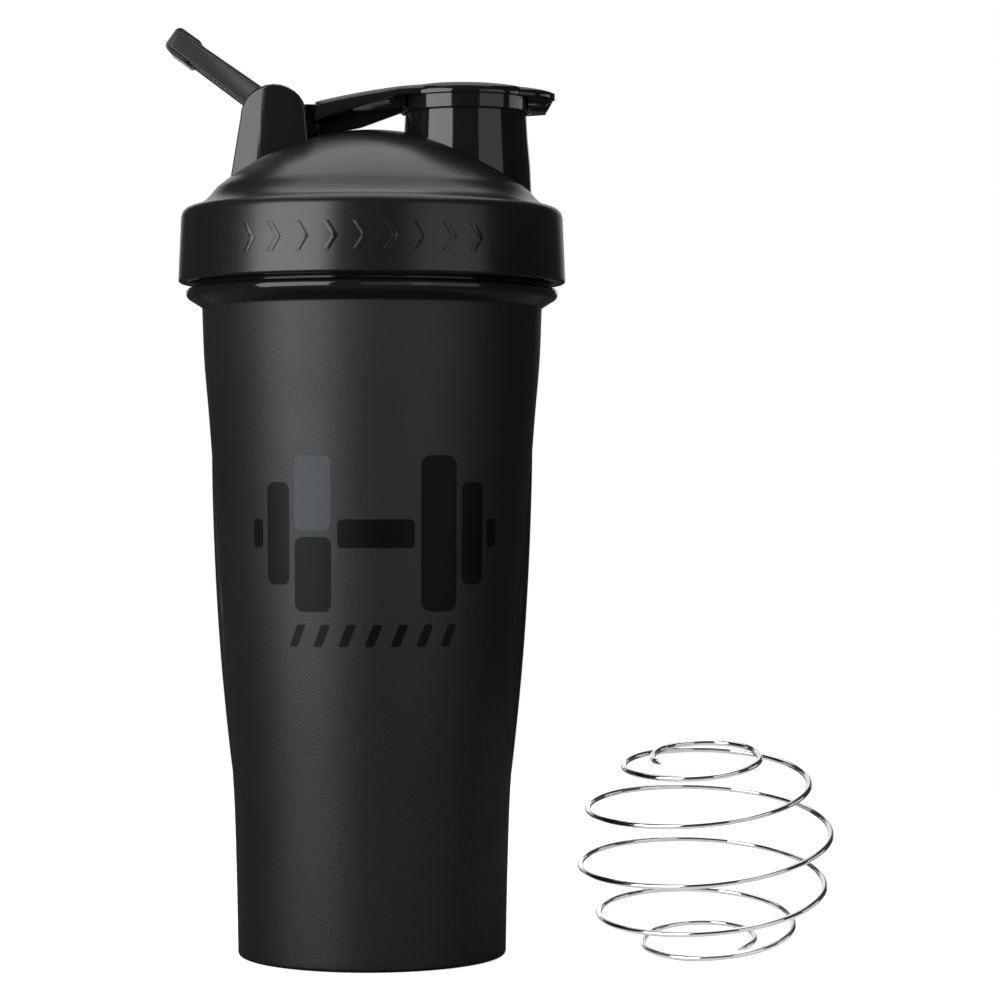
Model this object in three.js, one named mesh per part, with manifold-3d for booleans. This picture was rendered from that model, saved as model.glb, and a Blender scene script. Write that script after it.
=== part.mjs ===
// Protein shaker bottle: tapered cup, screw lid with a flip cap and a carry loop, and a wire ball.
// Millimetres, +Z up. The origin is the centre of the cup's base, on the table.
// +X points to the drinking spout, -X to the hinge ears.

import * as THREE from 'three';
import { mergeVertices } from 'three/addons/utils/BufferGeometryUtils.js';
import Module from 'manifold-3d';

const wasm = await Module();
wasm.setup();

// ---- Driving dimensions ----

// Cup
const cupHeight = 163.5; // table to the underside of the flange
const baseRadius = 33.9;
const neckRadius = 44.0; // outside of the threaded neck
const neckHeight = 15.3; // flange top to rim
const neckWall = 2.8;
const cupWall = 1.9;
const floorThickness = 3.0;
const flangeOverhang = 3.1; // flange edge beyond the neck
const flangeHeight = 4.8;
const flangeCone = 2.5; // height of the sloping underside of the flange
const topStep = 1.0; // how far the cup's side is inside the neck
const rimChamfer = 0.8;
const footWidth = 3.2;
const footRecess = 1.0;
const footCorner = 1.2; // height of the rounded corner under the side
const padRadius = 12.0; // flat pad in the middle of the underside
const ribBottom = 43.3; // table to the lower end of the side ribs
const ribLength = 87.5;
const ribProud = 1.15; // side ribs beyond the cup's side
const ribHalfWidth = 7.2;

// How far the side has flared at a share of its height: nearly upright at the foot, then even.
const sideFlare = [
  [0, 0], [0.12, 0.045], [0.25, 0.125], [0.49, 0.4],
  [0.7, 0.64], [0.83, 0.81], [0.92, 0.945], [1, 1],
];

// Screw thread, two starts
const threadLead = 10.0;
const threadStarts = 2;
const cupThreadTurns = 0.8; // turns of each start on the neck
const lidThreadTurns = 0.42; // turns of each start in the ring
const lidThreadShift = 0.18; // turns from the start of a neck ridge to the start of a ring ridge
const threadFoot = 3.0; // flange top to the start of a neck ridge
const threadBead = 1.2; // radius of the round ridge
const threadProud = 0.2; // how far a ridge's centre line stands out of its wall

// Lid
const lidWall = 2.1; // ring wall at its top
const lidDraft = 0.7; // how much wider the ring is at its bottom
const lidFootChamfer = 0.7;
const threadRoom = 2.2; // between the neck and the ring's inside
const ringGap = 1.4; // flange top to ring bottom
const ringCorner = 3.2; // width of the ring's rounded top corner
const ringCornerHeight = 2.56;
const shoulderRise = 4.8; // ring top to the dome's foot
const domeRadius = 59.5; // sphere of the dome
const domeEdge = 39.5; // where the dome meets the shoulder
const domeInset = 8.0; // least distance from the ring's outside to the dome's foot
const domeThickness = 2.2;
const ceilingThickness = 2.6;
const plugDepth = 5.6; // plug lip below the ceiling
const plugThickness = 1.8;
const plugRoom = 0.8; // between the plug lip and the neck's bore
const plugDraft = 0.3;
const sealThickness = 2.0;

// Spout
const spoutX = 23.7;
const spoutRadius = 15.4; // at its lip
const spoutFlare = 1.5; // wider at its root
const spoutWall = 2.1;
const spoutRise = 6.2; // lip above the dome's top
const lipChamfer = 0.5;

// Hinge
const pivotX = -24.3;
const pivotRise = 2.2; // hinge axis above the dome's top
const earRadius = 8.3;
const earThickness = 3.3;
const earSpan = 25.0; // outside to outside
const earBackFlare = 3.2; // how much further back the ear's foot reaches
const earFrontFlare = 1.6;
const earRoot = 17.0; // ear's foot below the dome's top, inside the lid's wall
const earSkin = 1.0; // solid wall that closes the near ear's bore
const pinRadius = 2.0;
const knuckleRadius = 4.0;

// Flip cap
const capThickness = 2.9;
const capLift = 1.5; // plate above the spout's lip
const capLip = 0.6; // plate edge beyond the skirt
const capArch = 4.3; // how far the arm's root drops below the plate's top
const capTip = 22.7; // thumb tab's point from the spout's axis
const tipDrop = 1.4; // how far the top line falls towards the tab's point
const tabAngle = 38; // degrees from +X to where the thumb tab leaves the plate
const tabWidth = 13.0; // block under the thumb tab, at the skirt
const tabPoint = 1.8; // the same block at its outer end
const armAngle = 128; // degrees from +X to where the arm leaves the plate
const armRun = 6.0; // even stretch of the arm at its root
const armHalfWidth = 12.0;
const armWall = 1.5;
const armStart = 10.5; // arm's root from the hinge axis, clear of the ears
const ribThickness = 2.2;
const ribClearance = 0.75; // centre rib above the dome's top
const skirtWall = 0.9;
const skirtDepth = 3.5;
const skirtChamfer = 0.3;

// Carry loop
const loopLength = 33.2; // hinge axis to far end
const loopAngle = 144.3; // degrees from +X
const loopOffset = -1.7; // arm's centre line from the hinge axis, negative towards its upper side
const loopNeck = 4.5; // hinge axis to where the arm has its full height
const loopRootHeight = 6.0;
const loopEndHeight = 5.0;
const loopArmWidth = 2.6;
const gripLength = 7.6;
const gripHeight = 6.6;
const gripStep = 0.8; // length of the step from the arm up to the grip
const gripEdge = 1.6; // rounding of the grip's edges
const loopCorner = 3.0; // outer corners in plan
const windowCorner = 2.5; // inner corners in plan

// Wire ball
const wireRadius = 0.75;
const ballRadius = 32.2; // axis to the wire's centre at its widest
const ballHeight = 46.8; // end ring to end ring
const ballX = 84.8;
const ballY = 4.0;
const ballTurns = 4.5; // between the two end rings
const lowerRingTurns = 0.64;
const upperRingTurns = 0.58;
const ringTuck = 0.26; // share by which the lower ring's end is drawn in
const ballLatitude = 70; // degrees that a turn's narrowing runs through, each way from the middle
const lowerFullness = 0.66; // under 1 makes the ball fuller than a sphere
const upperFullness = 0.81;
const lowerRise = 70; // degrees of sine that space the turns below the middle
const upperRise = 80;
const ballSlant = 0.17; // rise of a turn's back, as a share of its radius
const ballLean = 0.03; // rise of a turn's +X side, as a share of its radius

// Clearances
const fit = 0.3; // between touching pieces
const pinFit = 0.2; // between the pin and a bore

// Mesh fineness
const roundSteps = 48;
const edgeSteps = 5; // a rounded edge or corner
const domeSteps = 9;

// How far a cutting or rough shape runs past what it cuts
const overrun = 1.0;
const farOut = 30.0;

// ---- Derived levels and radii ----

const cupTopRadius = neckRadius - topStep;
const cupBore = neckRadius - neckWall;
const flangeRadius = neckRadius + flangeOverhang;
const flangeTop = cupHeight + flangeHeight;
const rimZ = flangeTop + neckHeight;
const ringBottom = flangeTop + ringGap;
const ceilingZ = rimZ + sealThickness + 2 * fit;
const ringInner = neckRadius + threadRoom;
const ringTopRadius = ringInner + lidWall;
const ringBottomRadius = ringTopRadius + lidDraft;
const ringTop = ceilingZ + ceilingThickness;
const cornerRadius = ringTopRadius - ringCorner; // where the rounded corner meets the shoulder
const domeLimit = Math.min(domeEdge, ringTopRadius - domeInset);
const domeFoot = ringTop + shoulderRise;
const domeCentreZ = domeFoot - Math.sqrt(domeRadius ** 2 - domeLimit ** 2);
const domeTop = domeCentreZ + domeRadius;
const underDome = domeRadius - domeThickness;
const plugOuter = cupBore - plugRoom;
const plugInner = plugOuter - plugThickness;
const spoutTop = domeTop + spoutRise;
const spoutBore = spoutRadius - spoutWall;
const pivotZ = domeTop + pivotRise;
const earInner = earSpan / 2 - earThickness;
const boreRadius = pinRadius + pinFit;
const skirtInner = spoutRadius + fit;
const skirtOuter = skirtInner + skirtWall;
const plateRadius = skirtOuter + capLip;
const plateBottom = spoutTop + capLift;
const plateTop = plateBottom + capThickness;
const skirtBottom = plateBottom - skirtDepth;
const rootX = pivotX + armStart;
const rootTop = plateTop - capArch;
const tipX = spoutX + capTip;
const archEnd = spoutX - skirtOuter; // where the arm's arch meets the skirt
const loopHalfWidth = earInner - fit;
const knuckleHalfWidth = loopHalfWidth - loopArmWidth - fit;

// ---- Helpers ----

const deg = Math.PI / 180;
const standUp = new THREE.Matrix4().makeRotationX(Math.PI / 2);

/** A closed geometry as a manifold solid, with its shared vertices merged. */
function solid(geometry) {
  const bare = geometry.clone();
  bare.deleteAttribute('normal');
  bare.deleteAttribute('uv');
  const merged = mergeVertices(bare, 1e-4);
  const corners = [];
  const index = merged.index.array;
  for (let i = 0; i < index.length; i += 3) {
    const [a, b, c] = [index[i], index[i + 1], index[i + 2]];
    if (a !== b && b !== c && c !== a) corners.push(a, b, c);
  }
  return new wasm.Manifold(new wasm.Mesh({
    numProp: 3,
    vertProperties: new Float32Array(merged.attributes.position.array),
    triVerts: new Uint32Array(corners),
  }));
}

/** A solid of revolution about +Z from [radius, z] points, listed up its outside. */
function turned(points) {
  const outline = points.map(([r, z]) => new THREE.Vector2(r, z));
  return solid(new THREE.LatheGeometry(outline, roundSteps).applyMatrix4(standUp));
}

/** A shape drawn in X and Z, extruded along Y from y0 to y1. */
function sideExtrusion(shape, y0, y1, curveSegments = 12) {
  const options = { depth: y1 - y0, bevelEnabled: false, curveSegments };
  const geometry = new THREE.ExtrudeGeometry(shape, options);
  return solid(geometry.translate(0, 0, -y1).applyMatrix4(standUp));
}

/** A shape drawn in X and Y, extruded from z0 up to z1. */
function upExtrusion(shape, z0, z1, curveSegments = 12) {
  const options = { depth: z1 - z0, bevelEnabled: false, curveSegments };
  const geometry = new THREE.ExtrudeGeometry(shape, options);
  return solid(geometry.translate(0, 0, z0));
}

/** A rod of the given radius along Y, centred on the hinge axis. */
function hingeRod(radius, y0, y1) {
  const geometry = new THREE.CylinderGeometry(radius, radius, y1 - y0, roundSteps / 2);
  return solid(geometry.translate(pivotX, (y0 + y1) / 2, pivotZ));
}

/** A polygon of corners as a shape. */
function polygon(corners) {
  return new THREE.Shape(corners.map(([across, up]) => new THREE.Vector2(across, up)));
}

/** A closed round wire along a line of points. */
function roundWire(points, radius) {
  const section = new THREE.Shape().absarc(0, 0, radius, 0, 2 * Math.PI);
  return solid(new THREE.ExtrudeGeometry(section, {
    steps: points.length - 1,
    curveSegments: 4,
    extrudePath: new THREE.CatmullRomCurve3(points),
  }));
}

/** Rounded ridges on helices about +Z, one for each start of the thread. */
function threadRidges(radius, shift, turns) {
  const stepsPerTurn = 30;
  const count = Math.round(turns * stepsPerTurn);
  const ridges = [];
  for (let start = 0; start < threadStarts; start += 1) {
    const points = [];
    for (let i = 0; i <= count; i += 1) {
      const turn = shift + (i / count) * turns;
      const angle = (start / threadStarts + turn) * 2 * Math.PI;
      const z = flangeTop + threadFoot + turn * threadLead;
      points.push(new THREE.Vector3(radius * Math.cos(angle), radius * Math.sin(angle), z));
    }
    ridges.push(roundWire(points, threadBead));
  }
  return ridges.reduce((all, ridge) => all.add(ridge));
}

/** A manifold solid as a named mesh with its material. */
function piece(name, body, colour, roughness, metalness = 0) {
  const mesh = body.getMesh();
  const geometry = new THREE.BufferGeometry();
  geometry.setAttribute('position', new THREE.BufferAttribute(new Float32Array(mesh.vertProperties), 3));
  geometry.setIndex(new THREE.BufferAttribute(new Uint32Array(mesh.triVerts), 1));
  geometry.computeVertexNormals();
  const material = new THREE.MeshStandardMaterial({ color: colour, roughness, metalness });
  const result = new THREE.Mesh(geometry, material);
  result.name = name;
  return result;
}

// ---- Cup ----

const sideCurve = new THREE.SplineCurve(sideFlare.map(([height, out]) => new THREE.Vector2(
  baseRadius + out * (cupTopRadius - baseRadius),
  footCorner + height * (cupHeight - footCorner),
)));

/** The cup's side as points, moved outward by an amount that may change with height. */
function sidePoints(count, outward) {
  return sideCurve.getPoints(count).map((p) => [p.x + outward(p.y), p.y]);
}

function cupBody() {
  const ringInside = baseRadius - footWidth;
  return turned([
    [0, 0], [padRadius, 0], [padRadius + footRecess, footRecess],
    [ringInside - footRecess, footRecess], [ringInside, 0],
    [baseRadius - footCorner * 0.75, 0], [baseRadius - footCorner * 0.2, footCorner * 0.3],
    ...sidePoints(12, () => 0),
    [flangeRadius, cupHeight + flangeCone], [flangeRadius, flangeTop - lipChamfer],
    [flangeRadius - lipChamfer, flangeTop], [neckRadius, flangeTop],
    [neckRadius, rimZ - rimChamfer], [neckRadius - rimChamfer, rimZ], [0, rimZ],
  ]);
}

function cupHollow() {
  const corner = 4.0; // of the inside, at the floor
  const inside = sidePoints(8, () => -cupWall).filter(([, z]) => z > floorThickness + corner * 0.75);
  const foot = baseRadius - cupWall;
  return turned([
    [0, floorThickness], [foot - corner, floorThickness],
    [foot - corner * 0.3, floorThickness + corner * 0.3], ...inside,
    [cupBore, cupHeight + flangeCone], [cupBore, rimZ + overrun], [0, rimZ + overrun],
  ]);
}

/** The two lens-shaped grip ribs, one on each side, which fade out at both ends. */
function sideRibs() {
  const low = ribBottom;
  const high = Math.min(ribBottom + ribLength, cupHeight - padRadius);
  const middle = (low + high) / 2;
  const [wide, full, slim] = [ribHalfWidth, ribHalfWidth * 1.15, ribHalfWidth * 0.85];
  const lowerBend = low + (middle - low) * 0.55;
  const upperBend = high - (high - middle) * 0.3;
  const lens = new THREE.Shape();
  lens.moveTo(0, low);
  lens.quadraticCurveTo(full, lowerBend, wide, middle);
  lens.quadraticCurveTo(slim, upperBend, 0, high);
  lens.quadraticCurveTo(-slim, upperBend, -wide, middle);
  lens.quadraticCurveTo(-full, lowerBend, 0, low);
  const across = new THREE.Matrix4().makeBasis(
    new THREE.Vector3(0, 1, 0),
    new THREE.Vector3(0, 0, 1),
    new THREE.Vector3(1, 0, 0),
  );
  const reach = neckRadius + overrun;
  const prism = new THREE.ExtrudeGeometry(lens, { depth: 2 * reach, bevelEnabled: false, curveSegments: 8 });
  const bothSides = solid(prism.translate(0, 0, -reach).applyMatrix4(across));
  const hidden = 0.02; // how far the ribs' own surface is inside the cup's, past their ends
  const swell = (z) => Math.sin(Math.PI * THREE.MathUtils.clamp((z - low) / (high - low), 0, 1)) ** 0.8;
  const proud = turned([
    [0, footCorner], ...sidePoints(24, (z) => ribProud * swell(z) - hidden), [0, cupHeight],
  ]);
  return proud.intersect(bothSides);
}

const cupThread = threadRidges(neckRadius + threadProud, 0, cupThreadTurns);
const cup = cupBody().add(sideRibs()).add(cupThread).subtract(cupHollow());

// ---- Lid ----

/** Points of a sphere about the dome's centre, from a starting radius in to the axis. */
function domePoints(sphere, start) {
  const points = [];
  for (let i = 0; i <= domeSteps; i += 1) {
    const r = start * (1 - i / domeSteps);
    points.push([r, domeCentreZ + Math.sqrt(sphere ** 2 - r ** 2)]);
  }
  return points;
}

function lidOuter() {
  const corner = [];
  for (let i = 0; i <= edgeSteps; i += 1) {
    const angle = (i / edgeSteps) * 90 * deg;
    const z = ringTop - ringCornerHeight * (1 - Math.sin(angle));
    corner.push([cornerRadius + ringCorner * Math.cos(angle), z]);
  }
  const shoulder = (inward, up) => [
    cornerRadius + (domeLimit - cornerRadius) * inward, ringTop + shoulderRise * up,
  ];
  return turned([
    [0, ringBottom], [ringBottomRadius - lidFootChamfer, ringBottom],
    [ringBottomRadius, ringBottom + lidFootChamfer], ...corner,
    shoulder(0.4, 0.32), shoulder(0.75, 0.68), ...domePoints(domeRadius, domeLimit),
  ]);
}

function lidHollow() {
  return turned([
    [0, ringBottom - overrun], [ringInner, ringBottom - overrun], [ringInner, ceilingZ],
    [plugOuter, ceilingZ], [plugOuter - plugDraft, ceilingZ - plugDepth],
    [plugInner, ceilingZ - plugDepth], ...domePoints(underDome, plugInner),
  ]);
}

function spout() {
  const root = ceilingZ + domeThickness;
  const flareAt = (share, z) => [spoutRadius + spoutFlare * share, root + z * (skirtBottom - root)];
  return turned([
    [0, root], flareAt(1, 0), flareAt(0.7, 0.44), flareAt(0.25, 0.74), flareAt(0, 1),
    [spoutRadius, spoutTop - lipChamfer], [spoutRadius - lipChamfer, spoutTop], [0, spoutTop],
  ]).translate(spoutX, 0, 0);
}

/** Two D-shaped ears: a round top about the hinge axis on a foot that flares backwards. */
function hingeEars() {
  const foot = domeTop - earRoot;
  const outline = new THREE.Shape();
  outline.moveTo(pivotX - earRadius - earBackFlare, foot);
  outline.lineTo(pivotX + earRadius + earFrontFlare, foot);
  outline.lineTo(pivotX + earRadius, pivotZ);
  outline.absarc(pivotX, pivotZ, earRadius, 0, Math.PI);
  const near = sideExtrusion(outline, -earSpan / 2, -earInner, 20);
  const far = sideExtrusion(outline, earInner, earSpan / 2, 20);
  return near.add(far);
}

const spoutCut = turned([
  [0, ceilingZ - overrun], [spoutBore, ceilingZ - overrun],
  [spoutBore, spoutTop + overrun], [0, spoutTop + overrun],
]).translate(spoutX, 0, 0);
const nearSkin = -earSpan / 2 + earSkin; // where the pin's bore ends inside the near ear
const pinHole = hingeRod(boreRadius, nearSkin, earSpan / 2 + overrun);
const lidThread = threadRidges(ringInner - threadProud, lidThreadShift, lidThreadTurns)
  .translate(0, 0, threadLead / threadStarts / 2); // half a pitch above the neck's ridges
const lid = lidOuter().add(spout()).add(hingeEars())
  .subtract(lidHollow()).subtract(spoutCut).subtract(pinHole).add(lidThread);

const sealBottom = rimZ + fit;
const lidSeal = turned([
  [plugOuter + fit, sealBottom], [ringInner - fit, sealBottom],
  [ringInner - fit, sealBottom + sealThickness], [plugOuter + fit, sealBottom + sealThickness],
  [plugOuter + fit, sealBottom],
]);

// ---- Hinge pin ----

const hingePin = hingeRod(pinRadius, nearSkin + fit, earSpan / 2 - pinFit);

// ---- Flip cap ----

/** Plan of the cap: a straight arm, a round plate and a pointed thumb tab. */
function capPlan(inset, startX) {
  const radius = plateRadius - inset;
  const side = armHalfWidth - inset;
  const [tab, arm] = [tabAngle * deg, armAngle * deg];
  const tip = tipX - inset * 1.6;
  const tipBend = { x: tip - 1.2, y: 4.2 - inset };
  const plan = new THREE.Shape();
  plan.moveTo(startX, -side);
  plan.lineTo(rootX + armRun, -side);
  plan.lineTo(spoutX + radius * Math.cos(arm), -radius * Math.sin(arm));
  plan.absarc(spoutX, 0, radius, -arm, -tab);
  plan.quadraticCurveTo(tipBend.x, -tipBend.y, tip, 0);
  plan.quadraticCurveTo(tipBend.x, tipBend.y, spoutX + radius * Math.cos(tab), radius * Math.sin(tab));
  plan.absarc(spoutX, 0, radius, tab, arm);
  plan.lineTo(rootX + armRun, side);
  plan.lineTo(startX, side);
  return plan;
}

/** Side view of the cap's shell: an arched arm that runs into a flat plate. */
function capSide() {
  const back = rootX - armRun;
  const front = tipX + overrun;
  const shape = new THREE.Shape();
  shape.moveTo(back, pivotZ - 3.2);
  shape.quadraticCurveTo(rootX + 8, plateBottom - 3.4, archEnd, plateBottom);
  shape.lineTo(front, plateBottom);
  shape.lineTo(front, plateTop - tipDrop);
  shape.quadraticCurveTo(spoutX + 14, plateTop + 0.1, spoutX - 6, plateTop);
  shape.quadraticCurveTo(spoutX - 24, plateTop - 0.4, back, rootTop - 1.6);
  return shape;
}

/** Side view of the space under the arm, between its walls. */
function armChannel() {
  const back = rootX - armRun;
  const shape = new THREE.Shape();
  shape.moveTo(back, pivotZ - farOut);
  shape.lineTo(archEnd, pivotZ - farOut);
  shape.lineTo(archEnd + 2, plateBottom);
  shape.quadraticCurveTo(spoutX - 24, plateBottom - 0.3, back, rootTop - capThickness - 1.8);
  return shape;
}

function capShell() {
  const half = plateRadius + overrun;
  const [low, high] = [skirtBottom - farOut, plateTop + farOut];
  const outside = sideExtrusion(capSide(), -half, half)
    .intersect(upExtrusion(capPlan(0, rootX), low, high));
  const channel = sideExtrusion(armChannel(), -half, half)
    .intersect(upExtrusion(capPlan(armWall, rootX - armRun), low, high));
  return outside.subtract(channel);
}

function capSkirt() {
  const top = plateBottom + overrun;
  return turned([
    [skirtInner, skirtBottom + skirtChamfer], [skirtInner + skirtChamfer, skirtBottom],
    [skirtOuter - skirtChamfer, skirtBottom], [skirtOuter, skirtBottom + skirtChamfer],
    [skirtOuter, top], [skirtInner, top], [skirtInner, skirtBottom + skirtChamfer],
  ]).translate(spoutX, 0, 0);
}

/** The upright rib along the middle of the arm's underside. */
function centreRib() {
  const side = polygon([
    [rootX - overrun, pivotZ - 3], [archEnd - armRun - 4, domeTop + ribClearance],
    [archEnd, skirtBottom], [archEnd + skirtWall / 2, plateBottom + overrun],
    [rootX - overrun, rootTop - 1.2],
  ]);
  return sideExtrusion(side, -ribThickness / 2, ribThickness / 2);
}

/** The pointed block under the thumb tab, which starts in the skirt. */
function thumbBlock() {
  const start = spoutX + skirtOuter - skirtWall / 2;
  const end = tipX - 0.2;
  const side = polygon([
    [start, plateBottom + overrun], [start, skirtBottom], [end - 2.4, skirtBottom + 0.1],
    [end, plateBottom + 0.4], [end, plateBottom + overrun],
  ]);
  const plan = polygon([
    [start, -tabWidth / 2], [end, -tabPoint / 2], [end, tabPoint / 2], [start, tabWidth / 2],
  ]);
  return sideExtrusion(side, -tabWidth, tabWidth)
    .intersect(upExtrusion(plan, skirtBottom - overrun, plateTop));
}

/** The knuckle that the arm turns on, with the wall that closes the arm's root. */
function capKnuckle() {
  const join = rootX + 0.5;
  const neck = new THREE.Shape();
  neck.moveTo(pivotX, pivotZ - knuckleRadius);
  neck.lineTo(join, pivotZ - knuckleRadius + 1.8);
  neck.lineTo(join, rootTop - 0.2);
  neck.lineTo(pivotX, pivotZ + knuckleRadius);
  neck.absarc(pivotX, pivotZ, knuckleRadius, Math.PI / 2, 3 * Math.PI / 2);
  const wall = polygon([
    [rootX, pivotZ - 1.2], [rootX + armWall, pivotZ - 0.4],
    [rootX + armWall, rootTop - 0.2], [rootX, rootTop - 0.6],
  ]);
  const wallHalf = armHalfWidth - armWall / 3;
  return sideExtrusion(neck, -knuckleHalfWidth, knuckleHalfWidth)
    .add(sideExtrusion(wall, -wallHalf, wallHalf));
}

const flipCap = capShell().add(capSkirt()).add(thumbBlock()).add(centreRib()).add(capKnuckle())
  .subtract(hingeRod(boreRadius, -farOut, farOut));

/** The soft plug that hangs under the cap's plate and closes the spout's bore. */
function spoutPlug() {
  const outer = spoutBore - fit;
  const top = plateBottom - fit;
  const low = spoutTop - 3.4;
  const dish = 1.6; // depth of the hollow in the plug's top
  return turned([
    [0, top - dish], [outer - 2 * dish, top - dish], [outer - 1.5 * dish, low + 0.4],
    [outer - dish, low], [outer - dish / 2, low], [outer, low + 1.2],
    [outer, spoutTop - fit], [outer - 2 * fit, top], [0, top],
  ]).translate(spoutX, 0, 0);
}

// ---- Carry loop ----

/** Side view of the loop along +X from the hinge axis: an eye, an arm and a thicker grip. */
function loopSide() {
  const start = loopLength - gripLength;
  const eye = knuckleRadius - 0.2;
  const low = (height) => loopOffset - height / 2;
  const high = (height) => loopOffset + height / 2;
  const side = new THREE.Shape();
  side.moveTo(0, -eye);
  side.lineTo(loopNeck, low(loopRootHeight));
  side.lineTo(start, low(loopEndHeight));
  side.lineTo(start + gripStep, low(gripHeight));
  side.lineTo(loopLength - gripEdge, low(gripHeight));
  side.quadraticCurveTo(loopLength, low(gripHeight), loopLength, low(gripHeight) + gripEdge);
  side.lineTo(loopLength, high(gripHeight) - gripEdge);
  side.quadraticCurveTo(loopLength, high(gripHeight), loopLength - gripEdge, high(gripHeight));
  side.lineTo(start + gripStep, high(gripHeight));
  side.lineTo(start, high(loopEndHeight));
  side.lineTo(loopNeck, high(loopRootHeight));
  side.lineTo(0, eye);
  side.absarc(0, 0, eye, Math.PI / 2, 3 * Math.PI / 2);
  return side;
}

/** A plan that is open towards the hinge and has two rounded corners at its far end. */
function loopPlan(endX, halfWidth, corner) {
  const plan = new THREE.Shape();
  plan.moveTo(-farOut, -halfWidth);
  plan.lineTo(endX - corner, -halfWidth);
  plan.quadraticCurveTo(endX, -halfWidth, endX, -halfWidth + corner);
  plan.lineTo(endX, halfWidth - corner);
  plan.quadraticCurveTo(endX, halfWidth, endX - corner, halfWidth);
  plan.lineTo(-farOut, halfWidth);
  return plan;
}

function carryLoop() {
  const outside = loopPlan(loopLength + 0.1, loopHalfWidth, loopCorner);
  const inside = loopPlan(loopLength - gripLength + 0.6, loopHalfWidth - loopArmWidth, windowCorner);
  const bore = solid(new THREE.CylinderGeometry(boreRadius, boreRadius, 2 * farOut, roundSteps / 2));
  return sideExtrusion(loopSide(), -loopHalfWidth - overrun, loopHalfWidth + overrun)
    .intersect(upExtrusion(outside, -farOut, farOut, edgeSteps))
    .subtract(upExtrusion(inside, -farOut, farOut, edgeSteps))
    .subtract(bore)
    .rotate([0, -loopAngle, 0])
    .translate(pivotX, 0, pivotZ);
}

// ---- Wire ball ----

/** Centre line of the wire: a flat end ring, rising turns on a rounded ball, another end ring. */
function wireLine() {
  const stepsPerTurn = 22;
  const turns = lowerRingTurns + ballTurns + upperRingTurns;
  const count = Math.round(turns * stepsPerTurn);
  const points = [];
  for (let i = 0; i <= count; i += 1) {
    const turn = (i / count) * turns - lowerRingTurns;
    const share = THREE.MathUtils.clamp(2 * turn / ballTurns - 1, -1, 1);
    const fullness = share < 0 ? lowerFullness : upperFullness;
    const rise = (share < 0 ? lowerRise : upperRise) * deg;
    const tuck = ringTuck * Math.max(0, -turn) / lowerRingTurns;
    const radius = ballRadius * Math.cos(ballLatitude * deg * share) ** fullness * (1 - tuck);
    const angle = (turn + 0.5) * 2 * Math.PI;
    const slant = radius * (ballSlant * Math.sin(angle) + ballLean * Math.cos(angle));
    const z = ballHeight / 2 * Math.sin(rise * share) / Math.sin(rise) + slant;
    points.push(new THREE.Vector3(ballX + radius * Math.cos(angle), ballY + radius * Math.sin(angle), z));
  }
  return points;
}

/** The wire ball, let down until its lowest turn is just clear of the table. */
function whiskBall() {
  const points = wireLine();
  const lowest = Math.min(...points.map((p) => p.z));
  const tableGap = wireRadius * 0.02;
  points.forEach((p) => p.setZ(p.z - lowest + wireRadius + tableGap));
  return roundWire(points, wireRadius);
}

// ---- Assembly ----

const bottle = new THREE.Group();
bottle.add(
  piece('cup', cup, 0x1e1f21, 0.55),
  piece('lid', lid, 0x141415, 0.3),
  piece('lid_seal', lidSeal, 0x2a2a2c, 0.8),
  piece('hinge_pin', hingePin, 0x18181a, 0.3),
  piece('flip_cap', flipCap, 0x121213, 0.18),
  piece('spout_seal', spoutPlug(), 0x2a2a2c, 0.8),
  piece('carry_loop', carryLoop(), 0x161617, 0.25),
  piece('whisk_ball', whiskBall(), 0xd8dadc, 0.12, 1),
);

export default bottle;
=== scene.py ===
"""Protein shaker bottle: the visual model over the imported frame.

A tapered frosted cup, a screw lid with a drinking spout, a flip cap and a carry loop on one
hinge pin, two soft seals, and a loose wire mixing ball. Metres, +Z up, in the frame of the CAD.
"""
import logging
import math
from dataclasses import dataclass, field
from enum import Enum
from typing import Callable, Iterable, Sequence

import bmesh
import bpy
from bmesh.types import BMEdge, BMVert
from mathutils import Matrix, Vector


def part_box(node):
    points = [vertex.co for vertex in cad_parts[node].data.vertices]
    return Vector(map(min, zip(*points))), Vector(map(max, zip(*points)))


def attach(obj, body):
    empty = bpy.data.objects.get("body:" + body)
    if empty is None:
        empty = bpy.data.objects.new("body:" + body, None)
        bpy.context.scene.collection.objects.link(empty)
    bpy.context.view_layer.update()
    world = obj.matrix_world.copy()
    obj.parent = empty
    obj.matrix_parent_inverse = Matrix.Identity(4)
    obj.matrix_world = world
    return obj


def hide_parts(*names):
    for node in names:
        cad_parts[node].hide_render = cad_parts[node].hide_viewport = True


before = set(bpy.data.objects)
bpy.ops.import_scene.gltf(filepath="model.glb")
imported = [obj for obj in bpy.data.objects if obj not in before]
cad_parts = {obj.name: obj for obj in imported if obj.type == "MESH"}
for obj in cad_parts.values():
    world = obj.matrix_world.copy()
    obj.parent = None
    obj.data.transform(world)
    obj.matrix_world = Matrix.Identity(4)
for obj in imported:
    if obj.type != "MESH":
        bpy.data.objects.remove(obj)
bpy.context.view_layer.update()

MM = 0.001
SHARP_ANGLE = math.radians(34)  # a sharper edge isn't shaded smooth
ARC_STEP = math.radians(13)  # turn of one segment of a rounded corner
LEAST_TURN = 0.02  # radians; a flatter corner isn't rounded
WELD = 0.025 * MM  # outline points closer than this become one
HAIR = 0.01 * MM  # keeps a full rounding just short of the next one
POLISH_FADE = 0.4 * MM  # how far a finish takes to turn from frosted to polished
CUP_SIDE_TOP = 163.5 * MM  # table to the underside of the flange
SPOUT_X = 23.7 * MM
HINGE_X = -24.3 * MM

log = logging.getLogger("shaker_bottle")


class Body(Enum):
    """The moving bodies of the frame."""

    CUP = "cup"
    LID_SEAL = "lid_seal"
    LID = "lid"
    FLIP_CAP = "flip_cap"
    CARRY_LOOP = "carry_loop"
    WHISK_BALL = "whisk_ball"


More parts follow.
